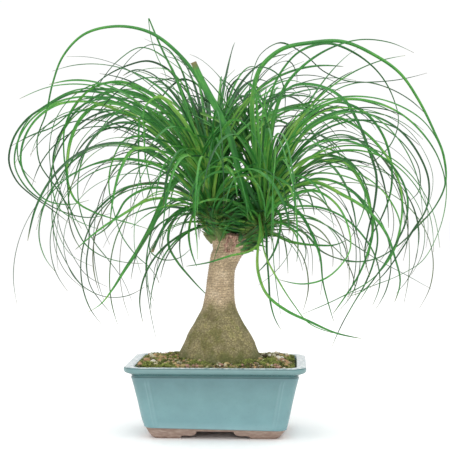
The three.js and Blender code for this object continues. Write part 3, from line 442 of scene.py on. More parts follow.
# ---- materials ----
def strap_leaf():
    """Living strap leaf, grown with a waxy skin: mid green with a soft shine, fine lengthwise
    veins, a pale clasping foot, a dry brown tip, and light glowing through the blade."""
    m, surface = new_material("strap_leaf_waxy")
    mark = {n: add_node(m, "ShaderNodeAttribute", attribute_name=n).outputs["Fac"]
            for n in ("tone", "across", "along", "share", "dry")}
    # sizes in mm; real veins lie about 0.4 apart and are drawn twice as wide apart to show
    vein_spacing, patch_size = 0.8, 30
    streak_wide, streak_long = 2.0, 70.0
    # the streaks of one leaf have nothing to do with those of the next, which has another tone
    leaf_apart = 40.0
    place = add_node(m, "ShaderNodeTexCoord").outputs["Object"]
    cloud = add_node(m, "ShaderNodeTexNoise", {"Vector": place, "Scale": 1 / (patch_size * MM),
                     "Detail": 3.0})
    shift = add_node(m, "ShaderNodeMath", {0: cloud.outputs["Fac"], 1: 0.5, 2: -0.25},
                     operation="MULTIPLY_ADD")
    blade = add_node(m, "ShaderNodeCombineXYZ", {"X": mark["across"], "Y": mark["along"],
                     "Z": mark["tone"]})
    drawn = add_node(m, "ShaderNodeMapping", {"Vector": blade.outputs[0],
                     "Scale": (1 / streak_wide, 1 / streak_long, leaf_apart)})
    streak = add_node(m, "ShaderNodeTexNoise", {"Vector": drawn.outputs[0], "Scale": 1.0, "Detail": 2.0})
    band = add_node(m, "ShaderNodeMath", {0: streak.outputs["Fac"], 1: 0.9, 2: -0.45},
                    operation="MULTIPLY_ADD")
    both = add_node(m, "ShaderNodeMath", {0: shift.outputs[0], 1: band.outputs[0]})
    # a leaf's tone is partly random and partly painted light and shade: lighter for leaves in front, darker
    # for those behind
    shade = add_node(m, "ShaderNodeMath", {0: mark["tone"], 1: both.outputs[0]}, use_clamp=True)
    green = add_node(m, "ShaderNodeValToRGB", {"Fac": shade.outputs[0]}, stops=[
        (0.0, "#22502a"), (0.25, "#2f7233"), (0.5, "#3a8838"), (0.76, "#56a142"), (1.0, "#8ab850")])
    wave = add_node(m, "ShaderNodeMath", {0: mark["across"], 1: 2 * math.pi / vein_spacing},
                    operation="MULTIPLY")
    vein = add_node(m, "ShaderNodeMath", {0: wave.outputs[0]}, operation="SINE")
    faint = add_node(m, "ShaderNodeMapRange", {0: vein.outputs[0], 1: -1.0, 2: 1.0, 3: 0.92, 4: 1.06})
    veined = add_node(m, "ShaderNodeVectorMath", {0: green.outputs["Color"], "Scale": faint.outputs[0]},
                      operation="SCALE")
    foot = add_node(m, "ShaderNodeMapRange", {0: mark["along"], 1: 20.0, 2: 3.0, 3: 0.0, 4: 0.7})
    pale = add_node(m, "ShaderNodeMix", {"Factor": foot.outputs[0], "A": veined.outputs[0],
                    "B": linear("#9fae62")}, data_type="RGBA")
    tip = add_node(m, "ShaderNodeMapRange", {0: mark["share"], 1: 0.96, 2: 1.0, 3: 0.0, 4: 0.6})
    worn = add_node(m, "ShaderNodeMath", {0: tip.outputs[0], 1: mark["dry"]}, operation="MAXIMUM")
    straw = add_node(m, "ShaderNodeValToRGB", {"Fac": cloud.outputs["Fac"]}, stops=[
        (0.3, "#5c4c34"), (0.55, "#8d7a50"), (0.75, "#b4a374")])
    colour = add_node(m, "ShaderNodeMix", {"Factor": worn.outputs[0], "A": pale.outputs["Result"],
                      "B": straw.outputs["Color"]}, data_type="RGBA")
    ridges = add_node(m, "ShaderNodeBump", {"Height": vein.outputs[0], "Strength": 0.25,
                      "Distance": 0.12 * MM})
    front = add_node(m, "ShaderNodeBsdfPrincipled", {"Base Color": colour.outputs["Result"],
                     "Roughness": 0.43, "IOR": 1.45, "Normal": ridges.outputs["Normal"]})
    glow = add_node(m, "ShaderNodeHueSaturation", {"Color": colour.outputs["Result"], "Hue": 0.485,
                    "Saturation": 1.05, "Value": 1.2})
    through = add_node(m, "ShaderNodeBsdfTranslucent", {"Color": glow.outputs["Color"]})
    leaf = add_node(m, "ShaderNodeMixShader", {0: 0.2, 1: front.outputs[0], 2: through.outputs[0]})
    m.node_tree.links.new(leaf.outputs[0], surface)
    return m


def celadon_glaze():
    """Stoneware glaze, dipped and fired: blue-green glass over clay, darker upwards into painted shade in
    the cove under the lip, with a dark line just under the rim's top edge, paler where it breaks over an
    edge and palest on the lip's top, where the pale is partly a painted highlight, with faint clouding and
    pinhole specks."""
    m, surface = new_material("celadon_glaze_fired")
    # sizes in mm: clouds in the melt, blots where it breaks, pinholes and the wavy skin
    cloud_size, blot_size, pinhole_size, wave_size = 22, 4.5, 1.6, 9
    place = add_node(m, "ShaderNodeTexCoord").outputs["Object"]
    height = add_node(m, "ShaderNodeSeparateXYZ", {0: place}).outputs["Z"]
    run = add_node(m, "ShaderNodeMapRange", {0: height, 1: 10 * MM, 2: 82 * MM})
    # colour by height: paler near the glaze's lower edge, darker upwards towards the lip and darkest in the
    # cove below it as painted shade under the lip's overhang, lighter on the lip, and a dark line just
    # under the rim's top edge
    depth = add_node(m, "ShaderNodeValToRGB", {"Fac": run.outputs[0]}, stops=[
        (0.0, "#6e969b"), (0.06, "#779fa4"), (0.5, "#6c9295"), (0.83, "#5f8185"), (0.845, "#486a6b"),
        (0.9, "#4a6c6d"), (0.925, "#698a8a"), (0.975, "#6c8e8f"), (0.984, "#38595b")])
    cloud = add_node(m, "ShaderNodeTexNoise", {"Vector": place, "Scale": 1 / (cloud_size * MM),
                     "Detail": 4.0, "Roughness": 0.6})
    mottle = add_node(m, "ShaderNodeMapRange", {0: cloud.outputs["Fac"], 1: 0.3, 2: 0.7, 3: 0.93, 4: 1.06})
    clouded = add_node(m, "ShaderNodeVectorMath", {0: depth.outputs["Color"], "Scale": mottle.outputs[0]},
                       operation="SCALE")
    # the mark thin is partly the glaze breaking pale over edges and partly a painted highlight: on the
    # lip's top and along the panel steps
    thin = add_node(m, "ShaderNodeAttribute", attribute_name="thin").outputs["Fac"]
    blot = add_node(m, "ShaderNodeTexNoise", {"Vector": place, "Scale": 1 / (blot_size * MM),
                    "Detail": 3.0})
    pale = add_node(m, "ShaderNodeValToRGB", {"Fac": blot.outputs["Fac"]}, stops=[
        (0.35, "#6c878f"), (0.5, "#abbcc0"), (0.63, "#d6dede")])
    low = add_node(m, "ShaderNodeMapRange", {0: thin, 1: 0.0, 2: 0.3, 3: 0.0, 4: 0.6})
    worn = add_node(m, "ShaderNodeMix", {"Factor": low.outputs[0], "A": clouded.outputs[0],
                    "B": linear("#93b4b8")}, data_type="RGBA")
    high = add_node(m, "ShaderNodeMapRange", {0: thin, 1: 0.2, 2: 0.9})
    broken = add_node(m, "ShaderNodeMix", {"Factor": high.outputs[0], "A": worn.outputs["Result"],
                      "B": pale.outputs["Color"]}, data_type="RGBA")
    speck = add_node(m, "ShaderNodeTexNoise", {"Vector": place, "Scale": 1 / (pinhole_size * MM),
                     "Detail": 2.0})
    dot = add_node(m, "ShaderNodeMapRange", {0: speck.outputs["Fac"], 1: 0.68, 2: 0.74, 3: 0.0, 4: 0.22})
    spotted = add_node(m, "ShaderNodeMix", {"Factor": dot.outputs[0], "A": broken.outputs["Result"],
                       "B": linear("#4f7478")}, data_type="RGBA")
    ripple = add_node(m, "ShaderNodeTexNoise", {"Vector": place, "Scale": 1 / (wave_size * MM),
                      "Detail": 1.0})
    skin = add_node(m, "ShaderNodeBump", {"Height": ripple.outputs["Fac"], "Strength": 0.3,
                    "Distance": 0.35 * MM})
    shine = add_node(m, "ShaderNodeMapRange", {0: cloud.outputs["Fac"], 1: 0.3, 2: 0.7, 3: 0.07, 4: 0.16})
    body = add_node(m, "ShaderNodeBsdfPrincipled", {"Base Color": spotted.outputs["Result"],
                    "Roughness": shine.outputs[0], "IOR": 1.52, "Normal": skin.outputs["Normal"]})
    m.node_tree.links.new(body.outputs[0], surface)
    return m


def bare_clay():
    """Unglazed stoneware, pressed and sponged before firing: matt pinkish brown with sandy grog, darker
    towards the glaze line with painted shade."""
    m, surface = new_material("bare_stoneware_sponged")
    # sizes in mm: the sponge's wipes and the grains of grog
    wipe_size, grog_size = 7, 0.9
    place = add_node(m, "ShaderNodeTexCoord").outputs["Object"]
    height = add_node(m, "ShaderNodeSeparateXYZ", {0: place}).outputs["Z"]
    streak = add_node(m, "ShaderNodeMapping", {"Vector": place, "Scale": (1.0, 1.0, 4.0)})
    wipe = add_node(m, "ShaderNodeTexNoise", {"Vector": streak.outputs[0],
                    "Scale": 1 / (wipe_size * MM), "Detail": 4.0})
    tint = add_node(m, "ShaderNodeValToRGB", {"Fac": wipe.outputs["Fac"]}, stops=[
        (0.3, "#8e776c"), (0.5, "#a18a7d"), (0.72, "#b5a194")])
    # painted shade: the clay darkens towards the glaze line
    near = add_node(m, "ShaderNodeMapRange", {0: height, 1: 8.6 * MM, 2: GLAZE_END_Z * MM, 3: 0.0, 4: 0.35})
    painted_shade_near_glaze = add_node(m, "ShaderNodeMix", {"Factor": near.outputs[0], "A": tint.outputs["Color"],
                     "B": linear("#6d5648")}, data_type="RGBA")
    grog = add_node(m, "ShaderNodeTexNoise", {"Vector": place, "Scale": 1 / (grog_size * MM),
                    "Detail": 2.0})
    grain = add_node(m, "ShaderNodeBump", {"Height": grog.outputs["Fac"], "Strength": 0.5,
                     "Distance": 0.3 * MM})
    body = add_node(m, "ShaderNodeBsdfPrincipled", {"Base Color": painted_shade_near_glaze.outputs["Result"],
                    "Roughness": 0.88, "Normal": grain.outputs["Normal"]})
    m.node_tree.links.new(body.outputs[0], surface)
    return m


def cork_bark():
    """Corky bark, grown and split into small plates: olive with algae on the swollen base, tan
    and ringed by old leaf scars on the neck, fibrous and pinkish brown where an arm was cut."""
    m, surface = new_material("cork_bark_grown")
    # sizes in mm: patches of algae, cork grains and the strands of torn wood
    patch_size, grain_size, strand_size = 17, 1.5, 1.7
    mark = {n: add_node(m, "ShaderNodeAttribute", attribute_name=n).outputs["Fac"]
            for n in ("crack", "neck", "scar", "foot")}
    place = add_node(m, "ShaderNodeTexCoord").outputs["Object"]
    cloud = add_node(m, "ShaderNodeTexNoise", {"Vector": place, "Scale": 1 / (patch_size * MM),
                     "Detail": 5.0, "Roughness": 0.62})
    base = add_node(m, "ShaderNodeValToRGB", {"Fac": cloud.outputs["Fac"]}, stops=[
        (0.3, "#62633a"), (0.42, "#7d7848"), (0.52, "#8f8562"), (0.6, "#9d9266"), (0.72, "#8b8d55")])
    tan = add_node(m, "ShaderNodeValToRGB", {"Fac": cloud.outputs["Fac"]}, stops=[
        (0.3, "#9a866c"), (0.5, "#b8a284"), (0.72, "#cebba0")])
    wood = add_node(m, "ShaderNodeMix", {"Factor": mark["neck"], "A": base.outputs["Color"],
                    "B": tan.outputs["Color"]}, data_type="RGBA")
    grit = add_node(m, "ShaderNodeTexNoise", {"Vector": place, "Scale": 1 / (grain_size * MM),
                    "Detail": 3.0})
    fleck = add_node(m, "ShaderNodeMapRange", {0: grit.outputs["Fac"], 1: 0.34, 2: 0.68, 3: 0.64, 4: 1.34})
    flecked = add_node(m, "ShaderNodeVectorMath", {0: wood.outputs["Result"], "Scale": fleck.outputs[0]},
                       operation="SCALE")
    dark = add_node(m, "ShaderNodeMath", {0: mark["crack"], 1: 0.62}, operation="MULTIPLY")
    cracked = add_node(m, "ShaderNodeMix", {"Factor": dark.outputs[0], "A": flecked.outputs[0],
                       "B": linear("#4d4424")}, data_type="RGBA")
    green = add_node(m, "ShaderNodeMath", {0: mark["foot"], 1: grit.outputs["Fac"]}, operation="MULTIPLY")
    mossy = add_node(m, "ShaderNodeMix", {"Factor": green.outputs[0], "A": cracked.outputs["Result"],
                     "B": linear("#43541f")}, data_type="RGBA")
    drawn = add_node(m, "ShaderNodeMapping", {"Vector": place, "Scale": (1.0, 1.0, 0.22)})
    strand = add_node(m, "ShaderNodeTexNoise", {"Vector": drawn.outputs[0],
                      "Scale": 1 / (strand_size * MM), "Detail": 3.0})
    fibre = add_node(m, "ShaderNodeValToRGB", {"Fac": strand.outputs["Fac"]}, stops=[
        (0.34, "#4a3226"), (0.5, "#9b7463"), (0.66, "#cdaa97")])
    cut = add_node(m, "ShaderNodeMix", {"Factor": mark["scar"], "A": mossy.outputs["Result"],
                   "B": fibre.outputs["Color"]}, data_type="RGBA")
    grain = add_node(m, "ShaderNodeBump", {"Height": grit.outputs["Fac"], "Strength": 0.45,
                     "Distance": 0.5 * MM})
    body = add_node(m, "ShaderNodeBsdfPrincipled", {"Base Color": cut.outputs["Result"],
                    "Roughness": 0.82, "Normal": grain.outputs["Normal"]})
    m.node_tree.links.new(body.outputs[0], surface)
    return m


def damp_soil():
    """Damp potting soil, sieved and pressed in: dark brown crumbs with paler grit and a green film."""
    m, surface = new_material("potting_soil_sieved")
    crumb_size = 2.2
    place = add_node(m, "ShaderNodeTexCoord").outputs["Object"]
    crumb = add_node(m, "ShaderNodeTexNoise", {"Vector": place, "Scale": 1 / (crumb_size * MM),
                     "Detail": 4.0})
    tint = add_node(m, "ShaderNodeValToRGB", {"Fac": crumb.outputs["Fac"]}, stops=[
        (0.3, "#2b2115"), (0.45, "#57482d"), (0.56, "#86764c"), (0.68, "#b0a278")])
    moss = add_node(m, "ShaderNodeAttribute", attribute_name="moss").outputs["Fac"]
    film = add_node(m, "ShaderNodeMath", {0: moss, 1: 0.65}, operation="MULTIPLY")
    green = add_node(m, "ShaderNodeValToRGB", {"Fac": crumb.outputs["Fac"]}, stops=[
        (0.32, "#20260f"), (0.5, "#5b6330"), (0.66, "#a3a860")])
    colour = add_node(m, "ShaderNodeMix", {"Factor": film.outputs[0], "A": tint.outputs["Color"],
                      "B": green.outputs["Color"]}, data_type="RGBA")
    lumps = add_node(m, "ShaderNodeBump", {"Height": crumb.outputs["Fac"], "Strength": 0.8,
                     "Distance": 0.8 * MM})
    body = add_node(m, "ShaderNodeBsdfPrincipled", {"Base Color": colour.outputs["Result"],
                    "Roughness": 0.95, "Normal": lumps.outputs["Normal"]})
    m.node_tree.links.new(body.outputs[0], surface)
    return m


def cushion_moss():
    """Cushion moss, living: matt olive to bright yellow green, darker low down, and darkened in clump-sized
    patches as painted shade between clumps.
    """
    m, surface = new_material("cushion_moss_living")
    clump_size = 4.0
    tone = add_node(m, "ShaderNodeAttribute", attribute_name="tone").outputs["Fac"]
    tint = add_node(m, "ShaderNodeValToRGB", {"Fac": tone}, stops=[
        (0.0, "#2c3217"), (0.3, "#4f5a26"), (0.6, "#7a8640"), (0.85, "#a2ad57"), (1.0, "#c8cc86")])
    place = add_node(m, "ShaderNodeTexCoord").outputs["Object"]
    clump = add_node(m, "ShaderNodeTexNoise", {"Vector": place, "Scale": 1 / (clump_size * MM),
                     "Detail": 3.0})
    # painted shade: the clump noise darkens some patches and lightens others, standing for shade between
    # clumps
    depth = add_node(m, "ShaderNodeMapRange", {0: clump.outputs["Fac"], 1: 0.36, 2: 0.64, 3: 0.35,
                     4: 1.45})
    colour = add_node(m, "ShaderNodeVectorMath", {0: tint.outputs["Color"], "Scale": depth.outputs[0]},
                      operation="SCALE")
    body = add_node(m, "ShaderNodeBsdfPrincipled", {"Base Color": colour.outputs[0], "Roughness": 0.8})
    m.node_tree.links.new(body.outputs[0], surface)
    return m


def fired_grit():
    """Crushed fired clay and granite grit: matt tan, orange, pink, grey and white grains."""
    m, surface = new_material("clay_and_granite_grit_crushed")
    pit_size = 1.1
    tone = add_node(m, "ShaderNodeAttribute", attribute_name="tone").outputs["Fac"]
    tint = add_node(m, "ShaderNodeValToRGB", {"Fac": tone}, stops=[
        (0.0, "#2d2a28"), (0.14, "#7a6a46"), (0.3, "#ac9a68"), (0.46, "#b8936a"), (0.6, "#ac8676"),
        (0.72, "#989478"), (0.86, "#c4bc9c"), (1.0, "#e6e0d2")])
    place = add_node(m, "ShaderNodeTexCoord").outputs["Object"]
    grain = add_node(m, "ShaderNodeTexNoise", {"Vector": place, "Scale": 1 / (pit_size * MM),
                     "Detail": 3.0})
    spots = add_node(m, "ShaderNodeMapRange", {0: grain.outputs["Fac"], 1: 0.3, 2: 0.7, 3: 0.7, 4: 1.2})
    colour = add_node(m, "ShaderNodeVectorMath", {0: tint.outputs["Color"], "Scale": spots.outputs[0]},
                      operation="SCALE")
    pits = add_node(m, "ShaderNodeBump", {"Height": grain.outputs["Fac"], "Strength": 0.5,
                    "Distance": 0.3 * MM})
    body = add_node(m, "ShaderNodeBsdfPrincipled", {"Base Color": colour.outputs[0], "Roughness": 0.85,
                    "Normal": pits.outputs["Normal"]})
    m.node_tree.links.new(body.outputs[0], surface)
    return m


def black_netting():
    """Polyethylene netting, moulded: dull black plastic with a slight sheen and soil dust."""
    m, surface = new_material("polyethylene_netting_moulded")
    dust_size = 3
    place = add_node(m, "ShaderNodeTexCoord").outputs["Object"]
    dust = add_node(m, "ShaderNodeTexNoise", {"Vector": place, "Scale": 1 / (dust_size * MM),
                    "Detail": 3.0})
    tint = add_node(m, "ShaderNodeValToRGB", {"Fac": dust.outputs["Fac"]}, stops=[
        (0.4, "#1d1f1e"), (0.75, "#4b4234")])
    body = add_node(m, "ShaderNodeBsdfPrincipled", {"Base Color": tint.outputs["Color"],
                    "Roughness": 0.55})
    m.node_tree.links.new(body.outputs[0], surface)
    return m


# ---- pot ----
CORNER_STEPS = 10
# the panels of the four sides: how deep they are sunk, and where they begin and end in height
PANEL_SUNK = 1.9
PANEL_BOTTOM = (12.4, 16.5)
PANEL_TOP = (64, 68.5)
# a panel's edge beside the corner post: distance from the post, and the share of the depth there
PANEL_EDGE = [(1, 0), (2.2, 0.35), (4.6, 0.45), (6.4, 0.85), (7.6, 1)]
# half length, half depth and corner radius of the hollow under the floor
HOLLOW = (58, 32, 8)
# no glazed face lies nearer to the pot's middle than this in both directions
GLAZED_FROM = (55, 35)
# the short sides' brackets: where they end, and how much shorter they are than the long sides'
SHORT_BRACKET = (12, 0.55)


def round_rect(half_x, half_y, radius, z, steps=6):
    """A rounded rectangle at one height."""
    ring = []
    for k, (sx, sy) in enumerate([(1, 1), (-1, 1), (-1, -1), (1, -1)]):
        for step in range(steps + 1):
            turn = math.radians(90 * k + 90 * step / steps)
            ring.append((sx * (half_x - radius) + radius * math.cos(turn),
                         sy * (half_y - radius) + radius * math.sin(turn), z))
    return ring


def circle(x, y, radius, z, sides=40):
    """A level circle."""
    turns = [2 * math.pi * k / sides for k in range(sides)]
    return [(x + radius * math.cos(t), y + radius * math.sin(t), z) for t in turns]


def pot_ring(z, half_x, radius, sunk=0.0):
    """The pot's outline at one height: round corner posts, and flat panels sunk between them."""
    half_y = half_x - WALL_STEP
    arc = round_rect(half_x, half_y, radius, z, CORNER_STEPS)
    ring = []
    for k in range(4):
        ring += arc[k * (CORNER_STEPS + 1):(k + 1) * (CORNER_STEPS + 1)]
        across, reach = (half_x, half_y) if k % 2 == 0 else (half_y, half_x)
        marks = [(across - radius - a, reach - sunk * s) for a, s in PANEL_EDGE]
        marks += [(-a, r) for a, r in reversed(marks)]
        for along, out in marks:
            x, y = [(along, out), (-out, along), (-along, -out), (out, -along)][k]
            ring.append((x, y, z))
    return [(x, y, z + glaze_dip(x, z)) for x, y, z in ring]


def glaze_dip(x, z):
    """How far the rows near the glaze's lower edge are tilted with it."""
    return -GLAZE_SLOPE * x * float(ease(5, 10, z) - ease(13, 24, z))


def pot_rows():
    """The rows of the outer face with more rows where they lie far apart."""
    rows = [POT_FACE[0]]
    for low, high in zip(POT_FACE, POT_FACE[1:]):
        parts = max(1, round((high[0] - low[0]) / 4))
        rows += [tuple(between(low, high, k / parts)) for k in range(1, parts + 1)]
    return rows


def run_modifiers(thing, *modifiers):
    """Works modifiers into an object's mesh."""
    for kind, settings in modifiers:
        modifier = thing.modifiers.new(kind.lower(), kind)
        for name, value in settings.items():
            setattr(modifier, name, value)
    graph = bpy.context.evaluated_depsgraph_get()
    mesh = bpy.data.meshes.new_from_object(thing.evaluated_get(graph))
    thing.modifiers.clear()
    thing.data = mesh


def cut_with(thing, rings):
    """Takes the solid between these rings out of an object."""
    shape = Gathered()
    shape.add_rings(rings)
    tool = shape.loose()
    run_modifiers(thing, ("BOOLEAN", {"operation": "DIFFERENCE", "solver": "EXACT", "object": tool}))
    bpy.data.objects.remove(tool)


def make_pot(glaze, clay):
    """The fired clay body: feet, panelled sides, rolled lip, inside, and two drain holes."""
    shape = Gathered()
    rings = [pot_ring(z, half, radius, PANEL_SUNK * float(ease(*PANEL_BOTTOM, z) - ease(*PANEL_TOP, z)))
             for z, half, radius in pot_rows()]
    rings += [pot_ring(*row) for row in POT_INSIDE]
    shape.add_rings(rings)
    pot = shape.loose()
    past_walls = 120
    stop, shorter = SHORT_BRACKET
    short = [(stop + (a - BRACKET[-1][0]) * shorter, z) for a, z in BRACKET]
    for outline, turned in ((BRACKET, False), (short, True)):
        outline = outline + [(-a, z) for a, z in reversed(outline)]
        cut_with(pot, [[(d, a, z) if turned else (a, d, z) for a, z in outline]
                       for d in (-past_walls, past_walls)])
    cut_with(pot, [round_rect(*HOLLOW, z) for z in (-1, UNDERSIDE_Z)])
    for side in (-1, 1):
        cut_with(pot, [circle(side * DRAIN_X, 0, DRAIN_RADIUS, z)
                       for z in (UNDERSIDE_Z - 4, FLOOR_TOP + 3)])
    mesh = pot.data
    bpy.data.objects.remove(pot)
    # the glaze covers the outside above the feet, and runs a little way down the inside
    for face in mesh.polygons:
        x, y, z = np.array(face.center) / MM - POT_MIDDLE
        outside = face.normal.x * x + face.normal.y * y > 0
        outside = outside and (abs(x) > GLAZED_FROM[0] or abs(y) > GLAZED_FROM[1])
        above = z > GLAZE_END_Z - GLAZE_SLOPE * x
        face.material_index = 0 if (above and outside) or z > GLAZE_INSIDE_Z else 1
    made = finish_piece("pot_fired_body", mesh, [glaze, clay], "pot", 38)
    # the glaze is paler over the two edges of each corner post and palest on the lip's top: partly the
    # glaze breaking, partly painted highlights on the panel steps and on the lip
    thin = mesh.attributes.new("thin", "FLOAT", "POINT")
    place = np.empty(len(mesh.vertices) * 3, np.float32)
    mesh.vertices.foreach_get("co", place)
    place = place.reshape(-1, 3) / MM - POT_MIDDLE
    rows = np.array(POT_FACE, float)
    half = np.interp(place[:, 2], rows[:, 0], rows[:, 1])
    corner = np.interp(place[:, 2], rows[:, 0], rows[:, 2])
    from_corner = half - corner - np.abs(place[:, 0])
    on_end = np.abs(place[:, 0]) > half - 3
    from_corner[on_end] = (half - WALL_STEP - corner - np.abs(place[:, 1]))[on_end]
    edge_wide = 0.8
    ridge = np.exp(-((from_corner - PANEL_EDGE[0][0]) / edge_wide) ** 2)
    ridge += 0.7 * np.exp(-((from_corner - PANEL_EDGE[2][0]) / edge_wide) ** 2)
    ridge *= 0.14 * (place[:, 2] > 14) * (place[:, 2] < 68)
    # the lip's top is pale, partly as a painted highlight of the top light
    value = np.maximum(ridge, ease(81.35, 81.75, place[:, 2]))
    thin.data.foreach_set("value", value.astype(np.float32))
    return made


# ---- trunk ----
# the size of the cork plates on the base and the step between leaf scars on the neck
PLATE_SIZE = 3.3
SCAR_STEP = 2.8
# the base's plates give way to the neck's rings between these heights
NECK_FROM = (135, 157)
# the wound of the cut arm runs down the front between these points
WOUND_LOW = np.array([14.5, -15, 212])
WOUND_HIGH = np.array([19.0, -11, 230])
# a dark knot low on the neck
KNOT = (-6, -22, 134)
# the skin's faces are this wide
SKIN_MESH = 1.05


def tube(shape, points, radii, sides):
    """A round closed tube along points, its rings square to the path."""
    p = np.asarray(points, float)
    ahead = unit(np.gradient(p, axis=0))
    # a direction that the tube doesn't run along
    lies_flat = abs(unit(p[-1] - p[0])[2]) < 0.7
    level = np.array([0.0, 0.0, 1.0]) if lies_flat else np.array([0.0, 1.0, 0.0])
    across = unit(np.cross(ahead, level))
    up = np.cross(across, ahead)
    turn = np.linspace(0, 2 * math.pi, sides, endpoint=False)
    out = across[:, None] * np.cos(turn)[:, None] + up[:, None] * np.sin(turn)[:, None]
    shape.add_rings(p[:, None] + out * np.asarray(radii, float)[:, None, None])


def smooth_tube(shape, stations, sides, step=4):
    """A tube through stations of (point, radius), rounded between them."""
    rows = [list(point) + [radius] for point, radius in stations]
    line, _ = smooth_path(rows, step)
    tube(shape, line[:, :3], line[:, 3], sides)


def trunk_ring(z, left, right, sides=72):
    """The trunk's outline at one height, with three broad lobes and five faint ones below the neck."""
    turn = np.linspace(0, 2 * math.pi, sides, endpoint=False)
    swell = 0.025 * np.sin(3 * turn + z / 23) + 0.015 * np.sin(5 * turn - z / 11)
    reach = (right - left) / 2 * (1 + swell * (1 - ease(140, 155, z)))
    return np.stack([(left + right) / 2 + reach * np.cos(turn), TRUNK_FLAT * reach * np.sin(turn),
                     np.full(sides, float(z))], 1)


def grow_wood():
    """Swollen base, neck, two arms, cut stub and roots, grown together into one smooth skin."""
    shape = Gathered()
    edges, _ = smooth_path([(left, right, z) for z, left, right in TRUNK_EDGES], 3)
    shape.add_rings([trunk_ring(z, left, right) for left, right, z in edges])
    for arm in (LEFT_ARM, RIGHT_ARM, CUT_STUB):
        smooth_tube(shape, arm, 28)
    for heading, reach, end_z in ROOTS:
        x, y = math.cos(math.radians(heading)), math.sin(math.radians(heading))
        # share of the reach, height, radius
        spots = [(0.15, 52, 9), (0.5, 44, 7), (0.78, (44 + end_z) / 2, 4.5), (1, end_z, 2.2)]
        smooth_tube(shape, [((TRUNK_MIDDLE_X + x * reach * share, y * reach * share, z), radius)
                            for share, z, radius in spots], 14)
    trunk = shape.loose()
    run_modifiers(trunk, ("REMESH", {"mode": "VOXEL", "voxel_size": SKIN_MESH * MM, "adaptivity": 0.0}),
                  ("SMOOTH", {"factor": 0.5, "iterations": 4}))
    mesh = trunk.data
    bpy.data.objects.remove(trunk)
    return mesh


def make_trunk(bark):
    """The wood with its bark: cork plates on the base, rings of leaf scars on the neck, a torn
    wound where an arm was cut, and marks at every vertex that colour them."""
    mesh = grow_wood()
    count = len(mesh.vertices)
    place = np.empty(count * 3)
    mesh.vertices.foreach_get("co", place)
    normal = np.array([v.normal for v in mesh.vertices])
    place = place.reshape(-1, 3) / MM - POT_MIDDLE
    crack, relief = np.zeros(count), np.zeros(count)
    neck = ease(*NECK_FROM, place[:, 2] + 3 * np.sin(place[:, 0] * 0.3))
    down = WOUND_HIGH - WOUND_LOW
    along = np.clip((place - WOUND_LOW) @ down / (down @ down), 0, 1)
    wound = np.linalg.norm(place - WOUND_LOW - along[:, None] * down, axis=1)
    scar = ease(8.5, 5, wound + 1.3 * np.sin(place[:, 2] * 0.9))
    fissure = ease(4.5, 1.5, wound + np.sin(place[:, 2] * 1.3)) * ease(227, 219, place[:, 2])
    knot = np.exp(-(np.linalg.norm((place - KNOT) / (1, 4, 1.3), axis=1) / 4) ** 2)
    for k, (x, y, z) in enumerate(place):
        spot = Vector((x, y, z))
        wander = 0.8 * noise.noise(spot * 0.23)
        at_plate = Vector((x / PLATE_SIZE, y / PLATE_SIZE, z / (PLATE_SIZE * 0.85)))
        cell, _ = noise.voronoi(at_plate + Vector((wander, 0, 0)))
        edge = min(1.0, max(0.0, (cell[1] - cell[0]) / 0.3))
        pebble = edge ** 0.5 - 0.75 + 0.35 * noise.noise(spot * 0.9)
        rings = math.sin(2 * math.pi * (z + 1.8 * noise.noise(spot * 0.12)) / SCAR_STEP)
        lumps = noise.noise(spot * 0.055)
        fibre = noise.noise(Vector((x * 1.6, y * 1.6, z * 0.35)))
        # relief in mm: cork plates and broad lumps on the base, rings and faint lumps on the neck
        crack[k] = (1 - edge) * (1 - neck[k]) + neck[k] * max(0.0, -rings - 0.3) * 1.1
        relief[k] = (1 - neck[k]) * (0.5 * pebble + 1.3 * lumps) + neck[k] * (0.34 * rings + 0.4 * lumps)
        relief[k] += scar[k] * 1.3 * fibre - knot[k] * 0.8 - fissure[k] * 1.6
        crack[k] = min(1.0, crack[k] + 1.1 * knot[k])
        scar[k] *= 1 - 0.8 * fissure[k]
        crack[k] = max(crack[k], fissure[k])
    # the roots and the wood under the soil are smoother
    relief *= 1 - 0.8 * ease(82, 70, place[:, 2])
    place = place + normal * relief[:, None]
    mesh.vertices.foreach_set("co", ((place + POT_MIDDLE) * MM).ravel())
    foot = 0.9 * ease(99, 84, place[:, 2] + 4 * np.sin(place[:, 0] * 0.4))
    for name, values in (("crack", crack), ("neck", neck), ("scar", scar), ("foot", foot)):
        mesh.attributes.new(name, "FLOAT", "POINT").data.foreach_set("value", values.astype(np.float32))
    return finish_piece("trunk_and_roots", mesh, [bark], "trunk", 180)


# ---- soil, moss and grit ----
# the soil: height at the pot's wall, half length, and how far in and how round its corners are
SOIL_EDGE_Z = 79.5
SOIL_HALF = 88.65
SOIL_CORNER = (76, 50.5, 12)
# where the trunk comes out of the soil: middle and radius
TRUNK_FOOT = (4.3, 46.5)
# the soil's top has faces this wide
SOIL_MESH = 1.6
# moss grows in patches of this size, broken into tufts, and covers more the higher the last number
MOSS_PATCH, MOSS_TUFT, MOSS_PLENTY = 17, 6, 0.13
# a leaflet's height and thickness from and to, and how far its tip leans
LEAFLET_HIGH, LEAFLET_THICK, LEAFLET_LEAN = (0.9, 2.4), (0.3, 0.55), 0.75
MOSS_LEAFLETS = 11000
# grains: how many, the widest one, and how far from the middle they lie, clear of the pot's wall
GRIT_GRAINS = 620
GRIT_WIDEST = 7.5
GRIT_REACH = (84.5, 59.5)
# colours of the grains, from black over tan, ochre, orange, pink, grey and cream to white, and
# how common each one is
GRIT_TONES = [0.1, 0.22, 0.32, 0.42, 0.5, 0.6, 0.72, 0.88, 1.0]
GRIT_SHARES = [0.1, 0.1, 0.2, 0.14, 0.12, 0.12, 0.08, 0.09, 0.05]
